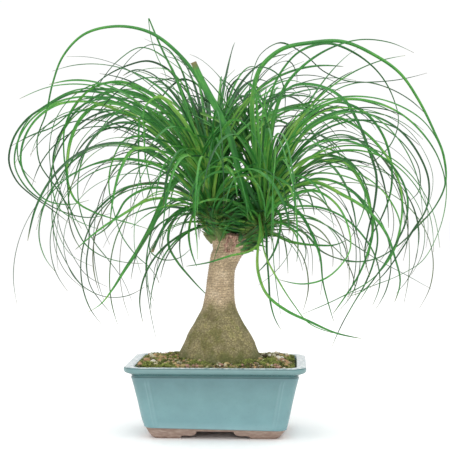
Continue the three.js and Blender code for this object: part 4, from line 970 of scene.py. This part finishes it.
# the heap of pale stones behind the trunk's right side: middle, how many, colours
HEAP_MIDDLE = (60, 14)
HEAP_STONES = 26
HEAP_TONES = [0.9, 1.0, 0.75, 0.05]


def soil_top(x, y):
    """Height of the soil at a place, from its edge to the mound round the trunk."""
    share = np.clip(np.maximum(np.abs(x) / SOIL_HALF, np.abs(y) / (SOIL_HALF - WALL_STEP)), 0, 1)
    mound = 9 * (1 - share) ** 0.7
    swell = 1.1 * np.sin(x * 0.21 + 1.2 * np.sin(y * 0.17))
    grit = 0.9 * np.sin(x * 0.83 + y * 0.37) * np.cos(y * 0.71 - x * 0.29)
    return SOIL_EDGE_Z + mound + (swell + grit) * np.where(share > 0.99, 0.3, 1)


def moss_cover(x, y):
    """How mossy a place is: above zero inside a cushion, and more towards its middle."""
    patch = noise.noise(Vector((x / MOSS_PATCH, y / MOSS_PATCH, 3.1)))
    tuft = noise.noise(Vector((x / MOSS_TUFT, y / MOSS_TUFT, 8.4)))
    return patch + 0.45 * tuft + MOSS_PLENTY


def make_soil(earth):
    """The potting soil, with the hollows of the roots in it and a crumbly top."""
    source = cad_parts["soil"]
    soil = bpy.data.objects.new("work", source.data.copy())
    bpy.context.scene.collection.objects.link(soil)
    run_modifiers(soil, ("REMESH", {"mode": "VOXEL", "voxel_size": SOIL_MESH * MM, "adaptivity": 0.0}))
    mesh = soil.data
    bpy.data.objects.remove(soil)
    moss = []
    for vertex in mesh.vertices:
        x, y, z = np.array(vertex.co) / MM - POT_MIDDLE
        moss.append(float(ease(-0.05, 0.08, moss_cover(x, y))))
        if vertex.normal.z > 0.3 and z > SOIL_EDGE_Z - 2:
            lift = 0.5 * noise.noise(Vector((x, y, z)) * 0.45) + 0.5 * noise.noise(Vector((x, y, z)) * 0.13)
            # moss raises the soil by up to a millimetre, but not at the pot's wall
            off_wall = ease(85, 80, abs(x)) * ease(60, 55, abs(y))
            vertex.co.z += (lift + moss[-1] * off_wall) * MM
    mesh.attributes.new("moss", "FLOAT", "POINT").data.foreach_set("value", moss)
    mesh.materials.clear()
    return finish_piece("potting_soil", mesh, [earth], "soil", 180)


def on_soil():
    """A random place on the soil outside the trunk, with its height."""
    while True:
        x, y = chance.uniform(-88, 88), chance.uniform(-62.5, 62.5)
        in_x, in_y, corner = SOIL_CORNER
        middle, radius = TRUNK_FOOT
        past_corner = math.hypot(max(0, abs(x) - in_x), max(0, abs(y) - in_y)) >= corner
        if not past_corner and math.hypot(x - middle, y / TRUNK_FLAT) > radius:
            return x, y, float(soil_top(x, y))


def make_moss(moss):
    """Cushions of moss: thousands of thin pointed leaflets that lean this way and that."""
    blades = Gathered()
    planted = 0
    while planted < MOSS_LEAFLETS:
        x, y, z = on_soil()
        cover = moss_cover(x, y)
        if cover < 0:
            continue
        planted += 1
        high = chance.uniform(*LEAFLET_HIGH) * (0.7 + 1.4 * min(cover, 0.4))
        thick = chance.uniform(*LEAFLET_THICK)
        lean = chance.normal(0, LEAFLET_LEAN, 2)
        turn = chance.uniform(0, 2.1)
        foot = [(x + thick * math.cos(turn + third), y + thick * math.sin(turn + third), z + 0.2)
                for third in (0, 2.094, 4.189)]
        tip = (x + lean[0], y + lean[1], z + 1 + high)
        patch = noise.noise(Vector((x / 5, y / 5, 1.7)))
        tone = np.clip(0.44 + 0.5 * cover + 0.65 * patch + chance.normal(0, 0.14), 0, 1)
        blades.add(foot + [tip], [(0, 2, 1), (0, 1, 3), (1, 2, 3), (2, 0, 3)],
                   tone=[tone * 0.5, tone * 0.5, tone * 0.5, min(1, tone + 0.25)])
    return blades.piece("moss_cushions", [moss], "soil", "soil")


def stone_shape():
    """Points and faces of a round stone of radius one."""
    work = bmesh.new()
    bmesh.ops.create_icosphere(work, subdivisions=2, radius=1)
    points = np.array([v.co for v in work.verts])
    faces = [[v.index for v in f.verts] for f in work.faces]
    work.free()
    return points, faces


def add_stone(stones, ball, place, size, tone, flat=0.7):
    """One lumpy grain, half sunk where it lies."""
    points, faces = ball
    seed = chance.uniform(-50, 50, 3)
    lumps = np.array([noise.noise(Vector(p * 0.9 + seed)) for p in points])
    facets = np.array([noise.noise(Vector(p * 2.3 + seed)) for p in points])
    shape = points * (1 + 0.35 * lumps + 0.16 * facets)[:, None] * size / 2
    shape = shape * chance.uniform(0.75, 1.15, 3) * (1, 1, flat)
    turn, tilt = chance.uniform(0, 6.28), chance.normal(0, 0.3)
    c, s = math.cos(turn), math.sin(turn)
    shape = shape @ np.array([[c, s, 0], [-s, c, 0], [0, 0, 1]])
    c, s = math.cos(tilt), math.sin(tilt)
    shape = shape @ np.array([[1, 0, 0], [0, c, s], [0, -s, c]])
    stones.add(shape + place, faces, tone=tone)


def make_grit(grit):
    """Grains of crushed clay and granite strewn between the cushions."""
    stones, ball = Gathered(), stone_shape()
    laid = 0
    while laid < GRIT_GRAINS:
        x, y, z = on_soil()
        mossy = moss_cover(x, y) > chance.uniform(0.02, 0.4)
        if mossy or abs(x) > GRIT_REACH[0] or abs(y) > GRIT_REACH[1]:
            continue
        laid += 1
        # most grains are 3 to 5 mm wide
        size = min(GRIT_WIDEST, chance.lognormal(1.3, 0.3))
        tone = chance.choice(GRIT_TONES, p=GRIT_SHARES)
        add_stone(stones, ball, (x, y, z + size * 0.16), size, tone + chance.normal(0, 0.02))
    for _ in range(HEAP_STONES):
        x, y = HEAP_MIDDLE[0] + chance.normal(0, 7), HEAP_MIDDLE[1] + chance.normal(0, 8)
        size = chance.uniform(4, 8)
        tone = chance.choice(HEAP_TONES)
        add_stone(stones, ball, (x, y, float(soil_top(x, y)) + chance.uniform(0, 4)), size, tone)
    return stones.piece("grit_top_dressing", [grit], "soil", "soil", 45)


# ---- where the leaves run ----
class Head:
    """One leafy head: the middle line of its core, from the arm's end upwards."""

    def __init__(self, name):
        arm, length, self.width = CORES[name]
        self.name = name
        self.foot = np.array(arm[2][0], float)
        self.ahead = unit(self.foot - np.array(arm[1][0], float))
        self.end = self.foot + self.ahead * length
        self.out = 180 if name == "left" else 0

    def at(self, share):
        """The point of the middle line at a share of its length."""
        return between(self.foot, self.end, share)

    def leaf_foot(self, way):
        """Where a leaf leaves the core: upright ones high, hanging ones low, each on its own side."""
        return self.at(0.2 + 0.65 * min(1, max(0, way[2]))) + np.array([way[0], way[1], 0]) * FOOT_OFFSET


class Leaf:
    """A leaf: its head, full width, path, the share of width left at a cut tip, the lean at its
    foot and the twist along it, and whether it is traced from the picture or a broad one in front."""

    def __init__(self, head, wide, path, end=0.0, turn=0.0, twist=0.0):
        self.head, self.wide, self.end, self.turn, self.twist = head, wide, end, turn, twist
        self.path = np.asarray(path, float)
        self.traced, self.broad = False, False

    def width(self, share):
        """The solid leaf's width at a share of its length."""
        left = 1 - (1 - self.end) * share if self.end > 0 else (1 - share) ** 0.62
        return np.maximum(TIP_WIDTH, self.wide * left * np.minimum(1, NECK_SHARE + share * 5))

    def span_widths(self):
        """The width where each span of the path starts."""
        steps = len(self.path) - 1
        return self.width(np.arange(steps) / steps)


def sight_point(x, z, depth):
    """The point at that depth which the eye sees at x, z in the plane through the pot's middle."""
    k = (depth - EYE[1]) / -EYE[1]
    return np.array([EYE[0] + (x - EYE[0]) * k, depth, EYE[2] + (z - EYE[2]) * k])


def traced_path(head, reach, marks):
    """The path of a traced leaf, whose depth goes from its foot's to the reach, fast at first."""
    foot = head.leaf_foot(unit(np.array([marks[0][0], reach * 0.16, marks[0][1]]) - head.at(0.5)))
    flat = np.array([[foot[0], foot[2]]] + marks, float)
    run = np.concatenate([[0], np.cumsum(np.linalg.norm(np.diff(flat, axis=0), axis=1))])
    depth = foot[1] + (reach - foot[1]) * (1 - (1 - run / run[-1]) ** 1.7)
    return [sight_point(x, z, d) for (x, z), d in zip(flat, depth)]


def free_path(head, heading, rise, fall, length, sway, step=36):
    """A path that leaves at the rise and bends to the fall, in degrees, while its heading sways."""
    steps = max(5, round(length / step))
    level, height = math.cos(math.radians(rise)), math.sin(math.radians(rise))
    at = math.radians(heading)
    path = [head.leaf_foot([level * math.cos(at), level * math.sin(at), height])]
    for k in range(steps):
        share = (k + 0.5) / steps
        tilt = math.radians(rise + (fall - rise) * share ** 1.25)
        turn = math.radians(heading + sway * share)
        flat = math.cos(tilt)
        way = np.array([flat * math.cos(turn), flat * math.sin(turn), math.sin(tilt)])
        path.append(path[-1] + way * length / steps)
    return path


def span_gaps(a, b, c, d):
    """Shortest distance between every span a-b and every span c-d."""
    u, v, w = (b - a)[:, None], (d - c)[None], a[:, None] - c[None]
    uu, uv, vv = (u * u).sum(-1), (u * v).sum(-1), (v * v).sum(-1)
    uw, vw = (u * w).sum(-1), (v * w).sum(-1)
    den = uu * vv - uv * uv
    s = np.where(den > 1e-9, np.clip((uv * vw - vv * uw) / np.maximum(den, 1e-9), 0, 1), 0)
    free = (uv * s + vw) / vv
    t = np.clip(free, 0, 1)
    s = np.where(free == t, s, np.clip((uv * t - uw) / uu, 0, 1))
    return np.linalg.norm(w + u * s[..., None] - v * t[..., None], axis=-1)


# the wood that leaves keep off, as straight spans: from, to, radius
WOOD_SPANS = [
    ((4, 0, 80), (4, 0, 108), 46), ((3, 0, 100), (2, 0, 128), 37), ((2, 0, 125), (2, 0, 150), 24),
    ((3, 0, 145), (5, 0, 195), 17), (LEFT_ARM[0][0], LEFT_ARM[2][0], 14),
    (RIGHT_ARM[0][0], RIGHT_ARM[1][0], 14), (RIGHT_ARM[1][0], RIGHT_ARM[2][0], 12),
    (CUT_STUB[0][0], CUT_STUB[2][0], 9),
]
WOOD_FROM = np.array([a for a, _, _ in WOOD_SPANS], float)
WOOD_TO = np.array([b for _, b, _ in WOOD_SPANS], float)
WOOD_RADIUS = np.array([r for _, _, r in WOOD_SPANS], float)


# leaves stay above this height, so that they never touch the soil
LOWEST_LEAF_Z = 95


def leaf_clears(leaf, heads, room=16, slack=0):
    """True where a leaf keeps above the soil and off the wood and the other head's core."""
    if (leaf.path[1:, 2] < LOWEST_LEAF_Z).any():
        return False
    other = heads["right" if leaf.head is heads["left"] else "left"]
    start, stop, half = leaf.path[:-1], leaf.path[1:], leaf.span_widths() / 2
    if (span_gaps(start, stop, other.foot[None], other.end[None])[:, 0] < room + half).any():
        return False
    wood = span_gaps(start[1:], stop[1:], WOOD_FROM, WOOD_TO)
    return not (wood < WOOD_RADIUS[None] + half[1:, None] + 2 - slack).any()


def leaf_fits(leaf, leaves, heads):
    """True where a leaf is clear and meets no leaf of the other head."""
    if not leaf_clears(leaf, heads):
        return False
    others = [one for one in leaves if one.head is not leaf.head]
    if not others:
        return True
    start = np.concatenate([one.path[:-1] for one in others])
    stop = np.concatenate([one.path[1:] for one in others])
    wide = np.concatenate([one.span_widths() for one in others])
    gaps = span_gaps(leaf.path[:-1], leaf.path[1:], start, stop)
    return not (gaps < (leaf.span_widths()[:, None] + wide[None]) / 2 + LEAF_GAP).any()


# untraced main leaves keep to the crown's outline: left, right, to the front and back, top, lowest
CROWN_LEFT, CROWN_RIGHT, CROWN_DEEP, CROWN_TOP, CROWN_LOWEST = -222, 238, 222, 404, 120
# and they leave the trunk in sight: below this height none runs between these sides
TRUNK_SEEN = (236, -46, 70)


def stays_inside(path):
    """True where an untraced main leaf keeps to the crown's outline and off the trunk's view."""
    x, y, z = np.asarray(path).T
    if (x < CROWN_LEFT).any() or (x > CROWN_RIGHT).any() or (np.abs(y) > CROWN_DEEP).any():
        return False
    below, left, right = TRUNK_SEEN
    before_trunk = (z < below) & (x > left) & (x < right)
    return not before_trunk.any() and (z > CROWN_LOWEST).all() and not (z > CROWN_TOP).any()


# a traced leaf is a broad one in front if it is this wide and its tip lies at such a depth
BROAD_WIDE = 8.5
BROAD_DEPTH = (-90, -40)
# a traced leaf that meets one of the other head is moved nearer and farther in steps of this
NUDGE_STEP = 7


def lay_main_leaves(heads):
    """The leaves that the solids have too, laid by the same rule and the same seeded row."""
    leaves = []
    for name, wide, reach, marks, *end in TRACED_LEAVES:
        turn = draw(35, 75) * (-1 if draw(0, 1) < 0.5 else 1)
        twist = draw(-45, 45)
        for tries in range(40):
            nudge = math.ceil(tries / 2) * NUDGE_STEP * (1 if tries % 2 == 0 else -1)
            path = traced_path(heads[name], reach + nudge, marks)
            leaf = Leaf(heads[name], wide, path, end[0] if end else 0.0, turn, twist)
            leaf.traced = True
            leaf.broad = wide >= BROAD_WIDE and BROAD_DEPTH[0] <= reach <= BROAD_DEPTH[1]
            if leaf_fits(leaf, leaves, heads):
                leaves.append(leaf)
                break
    for k in range(FREE_PER_HEAD * 2):
        head = heads["left" if k % 2 == 0 else "right"]
        near = -1 if k % 4 < 2 else 1
        side = -near if head.name == "left" else near
        long = k % 6 < 2
        for _ in range(60):
            wide = draw(6, 9)
            heading = head.out + side * draw(20, 100)
            rise = draw(48, 74) if long else draw(62, 86)
            fall = draw(-95, -60) if long else draw(-70, -10)
            length = draw(300, 470) if long else draw(170, 300)
            path = free_path(head, heading, rise, fall, length, draw(-25, 25))
            leaf = Leaf(head, wide, path, 0.0, draw(-30, 30), draw(-60, 60))
            if stays_inside(path) and leaf_fits(leaf, leaves, heads):
                leaves.append(leaf)
                break
    return leaves


# the added leaves keep inside the solids' own box and the picture: its side's distance beside the
# pot's middle, and how much nearer it comes for each millimetre towards the eye
PICTURE_SIDE = 250
PICTURE_NARROWS = 0.18
# added leaves stay out of this space round the trunk: below, left, right, and this far back
TRUNK_SPACE = (228, -30, 55, 60)
# and they end above this height
ADDED_LOWEST = 108
ROOM_LOW = np.array(cad_low) / MM - POT_MIDDLE + 2
ROOM_HIGH = np.array(cad_high) / MM - POT_MIDDLE - 2


def in_room(path):
    """True inside the solids' box, above the soil, not before the trunk and within the picture's sides."""
    p = np.asarray(path)
    if (p < ROOM_LOW).any() or (p > ROOM_HIGH).any():
        return False
    x, y, z = p.T
    if (np.abs(x) > PICTURE_SIDE + PICTURE_NARROWS * y).any():
        return False
    below, left, right, back = TRUNK_SPACE
    at_trunk = (z < below) & (x > left) & (x < right) & (y < back)
    return not at_trunk.any() and (z[3:] > ADDED_LOWEST).all()


# how likely a traced leaf of each head has a companion
COMPANION_LIKELY = {"left": 0.4, "right": 0.1}


def lay_companions(heads, main):
    """Narrower leaves beside traced ones: each leaves the same foot and drifts away from its
    neighbour in depth, to a side and up or down, and may be shorter."""
    found = []
    for leaf in main:
        likely = COMPANION_LIKELY[leaf.head.name]
        if not leaf.traced or leaf.end > 0 or chance.random() > likely:
            continue
        for _ in range(12):
            count = len(leaf.path)
            grow = np.linspace(0, 1, count)[:, None] ** 0.8
            depth = pick(18, 70) * chance.choice([-1, 1])
            shift = np.array([pick(-24, 24), depth, pick(-24, 14)])
            keep = pick(0.72, 1.0)
            path = smooth_path(leaf.path + grow * shift, 30)[0]
            path = path[:max(5, round(len(path) * keep))]
            other = Leaf(leaf.head, leaf.wide * pick(0.4, 0.75), path, 0.0, pick(-70, 70), pick(-60, 60))
            if in_room(other.path) and leaf_clears(other, heads, 11):
                found.append(other)
                break
    return found


# where added leaves aim, as headings for the left head; the right head's are mirrored
OUTWARD, BACK_INWARD, BACK, FRONT, BACK_OR_FRONT = (180,), (45,), (90,), (270,), (90, 270)
INWARD, BACK_OUTWARD = (0,), (125,)
# the heads that take turns
BOTH, MORE_LEFT = ("left", "right"), ("left", "left", "right")
# kinds of added leaves: group, how many, rise at the foot and fall at the tip in degrees, length,
# width, aim, how far to each side of it, how much closer to the wood they may come, and heads
ADDED_LEAVES = [
    ("tuft", 54, (72, 89), (-60, 30), (190, 300), (6, 9), BACK, 75, 0, MORE_LEFT),
    ("tuft", 10, (60, 80), (-90, -20), (130, 220), (6, 9), FRONT, 60, 0, BOTH),
    ("tuft", 34, (74, 90), (-60, 30), (190, 300), (6, 9.5), BACK_INWARD, 50, 0, BOTH),
    ("tuft", 42, (80, 90), (-70, 10), (200, 280), (7, 10), BACK_OUTWARD, 60, 0, MORE_LEFT),
    ("tuft", 18, (40, 78), (-100, -60), (120, 230), (7, 9.5), FRONT, 80, 0, BOTH),
    ("tuft", 60, (-45, 0), (-20, 30), (22, 46), (5, 8), INWARD, 65, 14, BOTH),
    ("tuft", 80, (20, 85), (-80, 40), (60, 130), (5, 8.5), BACK_INWARD, 60, 6, BOTH),
    ("tuft", 100, (-20, 50), (-30, 40), (24, 70), (5, 8), INWARD, 80, 14, BOTH),
    ("arching", 42, (40, 80), (-100, -40), (200, 400), (4.5, 8), BACK_OR_FRONT, 17, 0, BOTH),
    ("threads", 24, (10, 70), (-150, -100), (280, 440), (2.8, 4.2), OUTWARD, 60, 0, BOTH),
    ("threads", 26, (-30, 40), (-130, -80), (70, 170), (3, 5), OUTWARD, 75, 4, BOTH),
]


def lay_free(heads, count, rise, fall, length, wide, aims, spread, slack, names):
    """Added leaves of one kind, laid at random within its ranges."""
    found = []
    for k in range(count):
        head = heads[names[k % len(names)]]
        for _ in range(50):
            heading = float(chance.choice(aims)) + pick(-spread, spread)
            heading = heading if head.name == "left" else 180 - heading
            path = free_path(head, heading, pick(*rise), pick(*fall), pick(*length), pick(-30, 30), 26)
            leaf = Leaf(head, pick(*wide), path, 0.0, pick(-40, 40), pick(-70, 70))
            if in_room(leaf.path) and leaf_clears(leaf, heads, 9 - slack, slack):
                found.append(leaf)
                break
    return found


# ---- leaf blades ----
# the half blades rise this much to both sides of the midrib, and the blade is this thick
BLADE_ANGLE = math.radians(24)
BLADE_THICK = 0.65
# how much slimmer a head's leaves are than their solids, except those that rise above this height
TALL = 425
SLIM = {"left": 0.74, "right": 0.66}
# how long a leaf keeps its width: near 0 to the very tip, near 1 it narrows all the way
TAPER_TALL, TAPER_BROAD, TAPER = 0.95, 0.8, 0.42
# broad leaves turn their flat side to the eye, by this many degrees
BROAD_LEAN = 62
# a blade rocks by this many degrees about its midrib, once in a length between these
RIPPLE = 7
RIPPLE_LONG = (55, 95)
# a path is folded where the cosine of its turn is this small
FOLD_TURN = 0.2
# distance between the rings of a blade
STATION = 4.6


def blade_runs(path):
    """The path in stretches that end where the leaf is folded sharply over."""
    ahead = unit(np.diff(path, axis=0))
    folds = [k + 1 for k in range(len(ahead) - 1) if float(ahead[k] @ ahead[k + 1]) <= FOLD_TURN]
    marks = [0] + folds + [len(path) - 1]
    return [(a, b) for a, b in zip(marks, marks[1:])]


def add_blade(shape, leaf, tone, dry=0.0, station=STATION, past_foot=0):
    """One strap leaf: a shallow channel with thin edges, a wide pale clasping foot and a long tip."""
    path = leaf.path
    lengths = np.linalg.norm(np.diff(path, axis=0), axis=1)
    run = np.concatenate([[0], np.cumsum(lengths)])
    far = path[math.ceil((len(path) - 1) / 2)] - path[0]
    side = unit([-far[1], far[0] + 0.001, 0])
    wave, phase = pick(*RIPPLE_LONG), pick(0, 6.28)
    tall = path[:, 2].max() > TALL
    slim = 1.0 if leaf.broad or tall else SLIM[leaf.head.name]
    taper = TAPER_TALL if tall else TAPER_BROAD if leaf.broad else TAPER
    for start, stop in blade_runs(path):
        line, at = smooth_path(path[start:stop + 1], station)
        along = run[start] + at * (run[stop] - run[start])
        share = along / run[-1]
        ahead = unit(np.gradient(line, axis=0))
        flat = unit(side - ahead * (ahead @ side)[:, None])
        ripple = RIPPLE * np.sin(along / wave * 6.28 + phase)
        lean = leaf.turn + leaf.twist * share + ripple
        if leaf.broad:
            lean = math.copysign(BROAD_LEAN, leaf.turn) + 0.3 * ripple
        lean = np.radians(lean)[:, None]
        up = np.cross(flat, ahead)
        across = flat * np.cos(lean) + up * np.sin(lean)
        above = -np.cross(across, ahead)
        if leaf.end > 0:
            left = 1 - (1 - leaf.end) * share
        else:
            left = np.maximum(0, 1 - share) ** taper
        wide = leaf.wide * slim * left * np.minimum(1, 0.72 + share * 3)
        # the foot widens to clasp the stem, and the tip ends half a millimetre wide
        wide = wide + 4 * np.exp(-(along / 11) ** 2)
        wide = np.maximum(wide, 0.5 + 1.1 * ease(0, 30, run[-1] - along))
        half = wide[:, None] / 2
        curl = BLADE_ANGLE * (1 + 0.7 * np.exp(-along / 30))[:, None]
        thick = BLADE_THICK * np.clip(wide / 5, 0.3, 1)[:, None] * (1 + 1.2 * np.exp(-along / 25))[:, None]

        def spot(place, deep):
            """A point of each ring: its place from edge to edge, and how deep in the blade it is."""
            raised = half * np.abs(place) ** 1.4 * np.sin(curl)
            return line + across * half * place * np.cos(curl) + above * (raised - thick * deep)

        rings = [spot(-1, 0.1), spot(-0.5, 0), spot(0, 0), spot(0.5, 0), spot(1, 0.1),
                 spot(0.5, 0.8), spot(0, 1.15), spot(-0.5, 0.8)]
        places = np.array([-1, -0.5, 0, 0.5, 1, 0.5, 0, -0.5])
        fade = 0.0 if leaf.broad else 0.38
        # the tone carries the leaf's painted light and shade, set by how far in front it lies
        lit_tone = tone + 0.12 * np.sin(along / 47 + phase) - fade * ease(0.4, 1, share)
        lit_tone = np.clip(lit_tone, 0, 1)[:, None]
        brown = dry
        if leaf.end > 0:
            brown = np.maximum(dry, ease(0.95, 1.0, share))[:, None]
        shape.add_rings(np.stack(rings, 1), tone=lit_tone, across=wide[:, None] / 2 * places,
                        along=along[:, None] + past_foot, share=share[:, None], dry=brown)


def add_core(shape, head):
    """The young stem inside a head, hidden by the feet of its leaves."""
    line = [head.foot - head.ahead * 2.5, head.at(0.25), head.at(0.7), head.at(0.95),
            head.end + head.ahead * 5]
    radii = [head.width - 1.6, head.width - 1, head.width - 3.5, head.width - 6, 1.5]
    before = shape.count
    smooth_tube(shape, list(zip(line, radii)), 20)
    added = shape.count - before
    for name, value in (("tone", 0.12), ("across", 0.0), ("along", 16.0), ("share", 0.0), ("dry", 0.2)):
        shape.marks.setdefault(name, []).append(np.full(added, value))


# how far below the arm's end the lowest feet sit, as a share of the core's length
LOWEST_FOOT = {"left": -0.34, "right": -0.66}
# dried feet on each head
OLD_FEET = 110
# each foot stands at this angle to the one before, in radians, as leaves do on a stem
FOOT_TURN = 2.4


def add_old_feet(shape, head, count):
    """Dried feet of shed leaves, laid like scales round the lower end of the head."""
    side = unit(np.cross(head.ahead, [0, 1, 0]))
    back = np.cross(side, head.ahead)
    lowest = LOWEST_FOOT[head.name]
    for k in range(count):
        turn = k * FOOT_TURN + pick(-0.2, 0.2)
        round_way = side * math.cos(turn) + back * math.sin(turn)
        level = lowest + (0.6 - lowest) * k / count
        root = head.at(level) + round_way * (head.width - 2.4 - 3 * max(0, level))
        high, out = pick(8, 19), pick(2, 13)
        path = [root, root + head.ahead * high * 0.4 + round_way * (1.2 + out * 0.12),
                root + head.ahead * high * 0.8 + round_way * (1.6 + out * 0.45),
                root + head.ahead * (high + pick(-3, 5)) + round_way * (1.8 + out)]
        leaf = Leaf(head, pick(4.5, 7.5), path, pick(0.05, 0.3))
        dry = pick(-0.3, 0.8) if level < 0.5 * lowest else pick(-0.9, 0.35)
        add_blade(shape, leaf, pick(0.15, 0.85), max(0, dry), 2, 11)


def leaf_colour(leaf, thread):
    """How bright and how dry a leaf is: brighter where it is wide, painted lighter in front and darker
    behind as light and shade, dull where thin.
    """
    dry = pick(0, 0.6) ** 2 if thread else 0.0
    # painted light: leaves nearer the eye get a lighter tone, those behind a darker one
    painted_front_light = 0.22 * math.tanh(-leaf.path[len(leaf.path) // 3][1] / 60)
    bright = 0.25 if thread else 0.52 + painted_front_light + 0.035 * (leaf.wide - 6)
    bright, spread = (0.6, 0.08) if leaf.broad else (bright, 0.2)
    return float(np.clip(chance.normal(bright, spread), 0.02, 0.82)), dry


def make_crowns(leaf_skin):
    """Both heads: the main leaves, companions, the tuft, arching leaves, dry threads and old feet."""
    heads = {name: Head(name) for name in CORES}
    main = lay_main_leaves(heads)
    groups = {"main": main, "beside": lay_companions(heads, main), "tuft": [], "arching": [], "threads": []}
    for group, *kind in ADDED_LEAVES:
        groups[group] += lay_free(heads, *kind)
    for head in heads.values():
        node = "crown_" + head.name
        for group, leaves in groups.items():
            shape = Gathered()
            for leaf in leaves:
                if leaf.head is not head:
                    continue
                tone, dry = leaf_colour(leaf, group == "threads")
                add_blade(shape, leaf, tone, dry)
            if group == "main":
                add_core(shape, head)
                add_old_feet(shape, head, OLD_FEET)
            shape.piece(f"leaves_{group}_{head.name}", [leaf_skin], "leaf", node, 50)


# ---- mesh squares ----
def dress_screens():
    """The mesh squares keep their solid shape and get their netting material."""
    netting = black_netting()
    for name in ("drain_screen_left", "drain_screen_right"):
        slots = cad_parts[name].data.materials
        slots.clear()
        slots.append(netting)


# ---- the stage ----
def plain_material(name, colour, roughness):
    """One even colour with little shine."""
    material, surface = new_material(name)
    body = add_node(material, "ShaderNodeBsdfPrincipled", {"Base Color": linear(colour),
                    "Roughness": roughness, "Specular IOR Level": 0.2})
    material.node_tree.links.new(body.outputs[0], surface)
    return material


def lay_floor():
    """A wide white floor, so wide that it fades into the white sky on every side."""
    half = 40.0
    mesh = bpy.data.meshes.new("white_floor")
    mesh.from_pydata([(-half, -half, 0), (half, -half, 0), (half, half, 0), (-half, half, 0)], [],
                     [(0, 1, 2, 3)])
    mesh.materials.append(plain_material("card_matt_coated", "#fefefe", 0.9))
    floor = bpy.data.objects.new("white_floor", mesh)
    bpy.context.scene.collection.objects.link(floor)


def add_softbox(name, place, aim, size, power):
    """A square area light that looks at a point."""
    light = bpy.data.lights.new(name, "AREA")
    light.shape, light.size, light.energy = "SQUARE", size, power
    lamp = bpy.data.objects.new(name, light)
    lamp.location = place
    lamp.rotation_euler = (Vector(aim) - Vector(place)).to_track_quat("-Z", "Y").to_euler()
    bpy.context.scene.collection.objects.link(lamp)


def light_stage():
    """Bright even studio light, strongest from above, under a white sky."""
    world = bpy.data.worlds.new("white_studio")
    world.use_nodes = True
    sky = world.node_tree.nodes["Background"]
    sky.inputs["Color"].default_value = (1, 1, 1, 1)
    sky.inputs["Strength"].default_value = 1.02
    bpy.context.scene.world = world
    add_softbox("top_softbox", (0, -0.25, 2.2), (0, 0, 0.2), 2.4, 29)
    add_softbox("front_softbox", (0.2, -2.4, 1.0), (0, 0, 0.15), 1.6, 9)
    bpy.context.scene.view_settings.view_transform = "Standard"


def place_camera():
    """The camera stands at the eye point, turned and dipped slightly, as in the photograph."""
    camera = bpy.data.cameras.new("camera")
    camera.lens, camera.sensor_width = LENS, SENSOR
    camera.clip_end = 20
    holder = bpy.data.objects.new("camera", camera)
    holder.location = (EYE + POT_MIDDLE) * MM
    holder.rotation_euler = (math.radians(90 - VIEW_DIP), 0, math.radians(VIEW_TURN))
    bpy.context.scene.collection.objects.link(holder)
    bpy.context.scene.camera = holder


make_pot(celadon_glaze(), bare_clay())
make_trunk(cork_bark())
make_soil(damp_soil())
make_moss(cushion_moss())
make_grit(fired_grit())
make_crowns(strap_leaf())
dress_screens()
lay_floor()
light_stage()
place_camera()
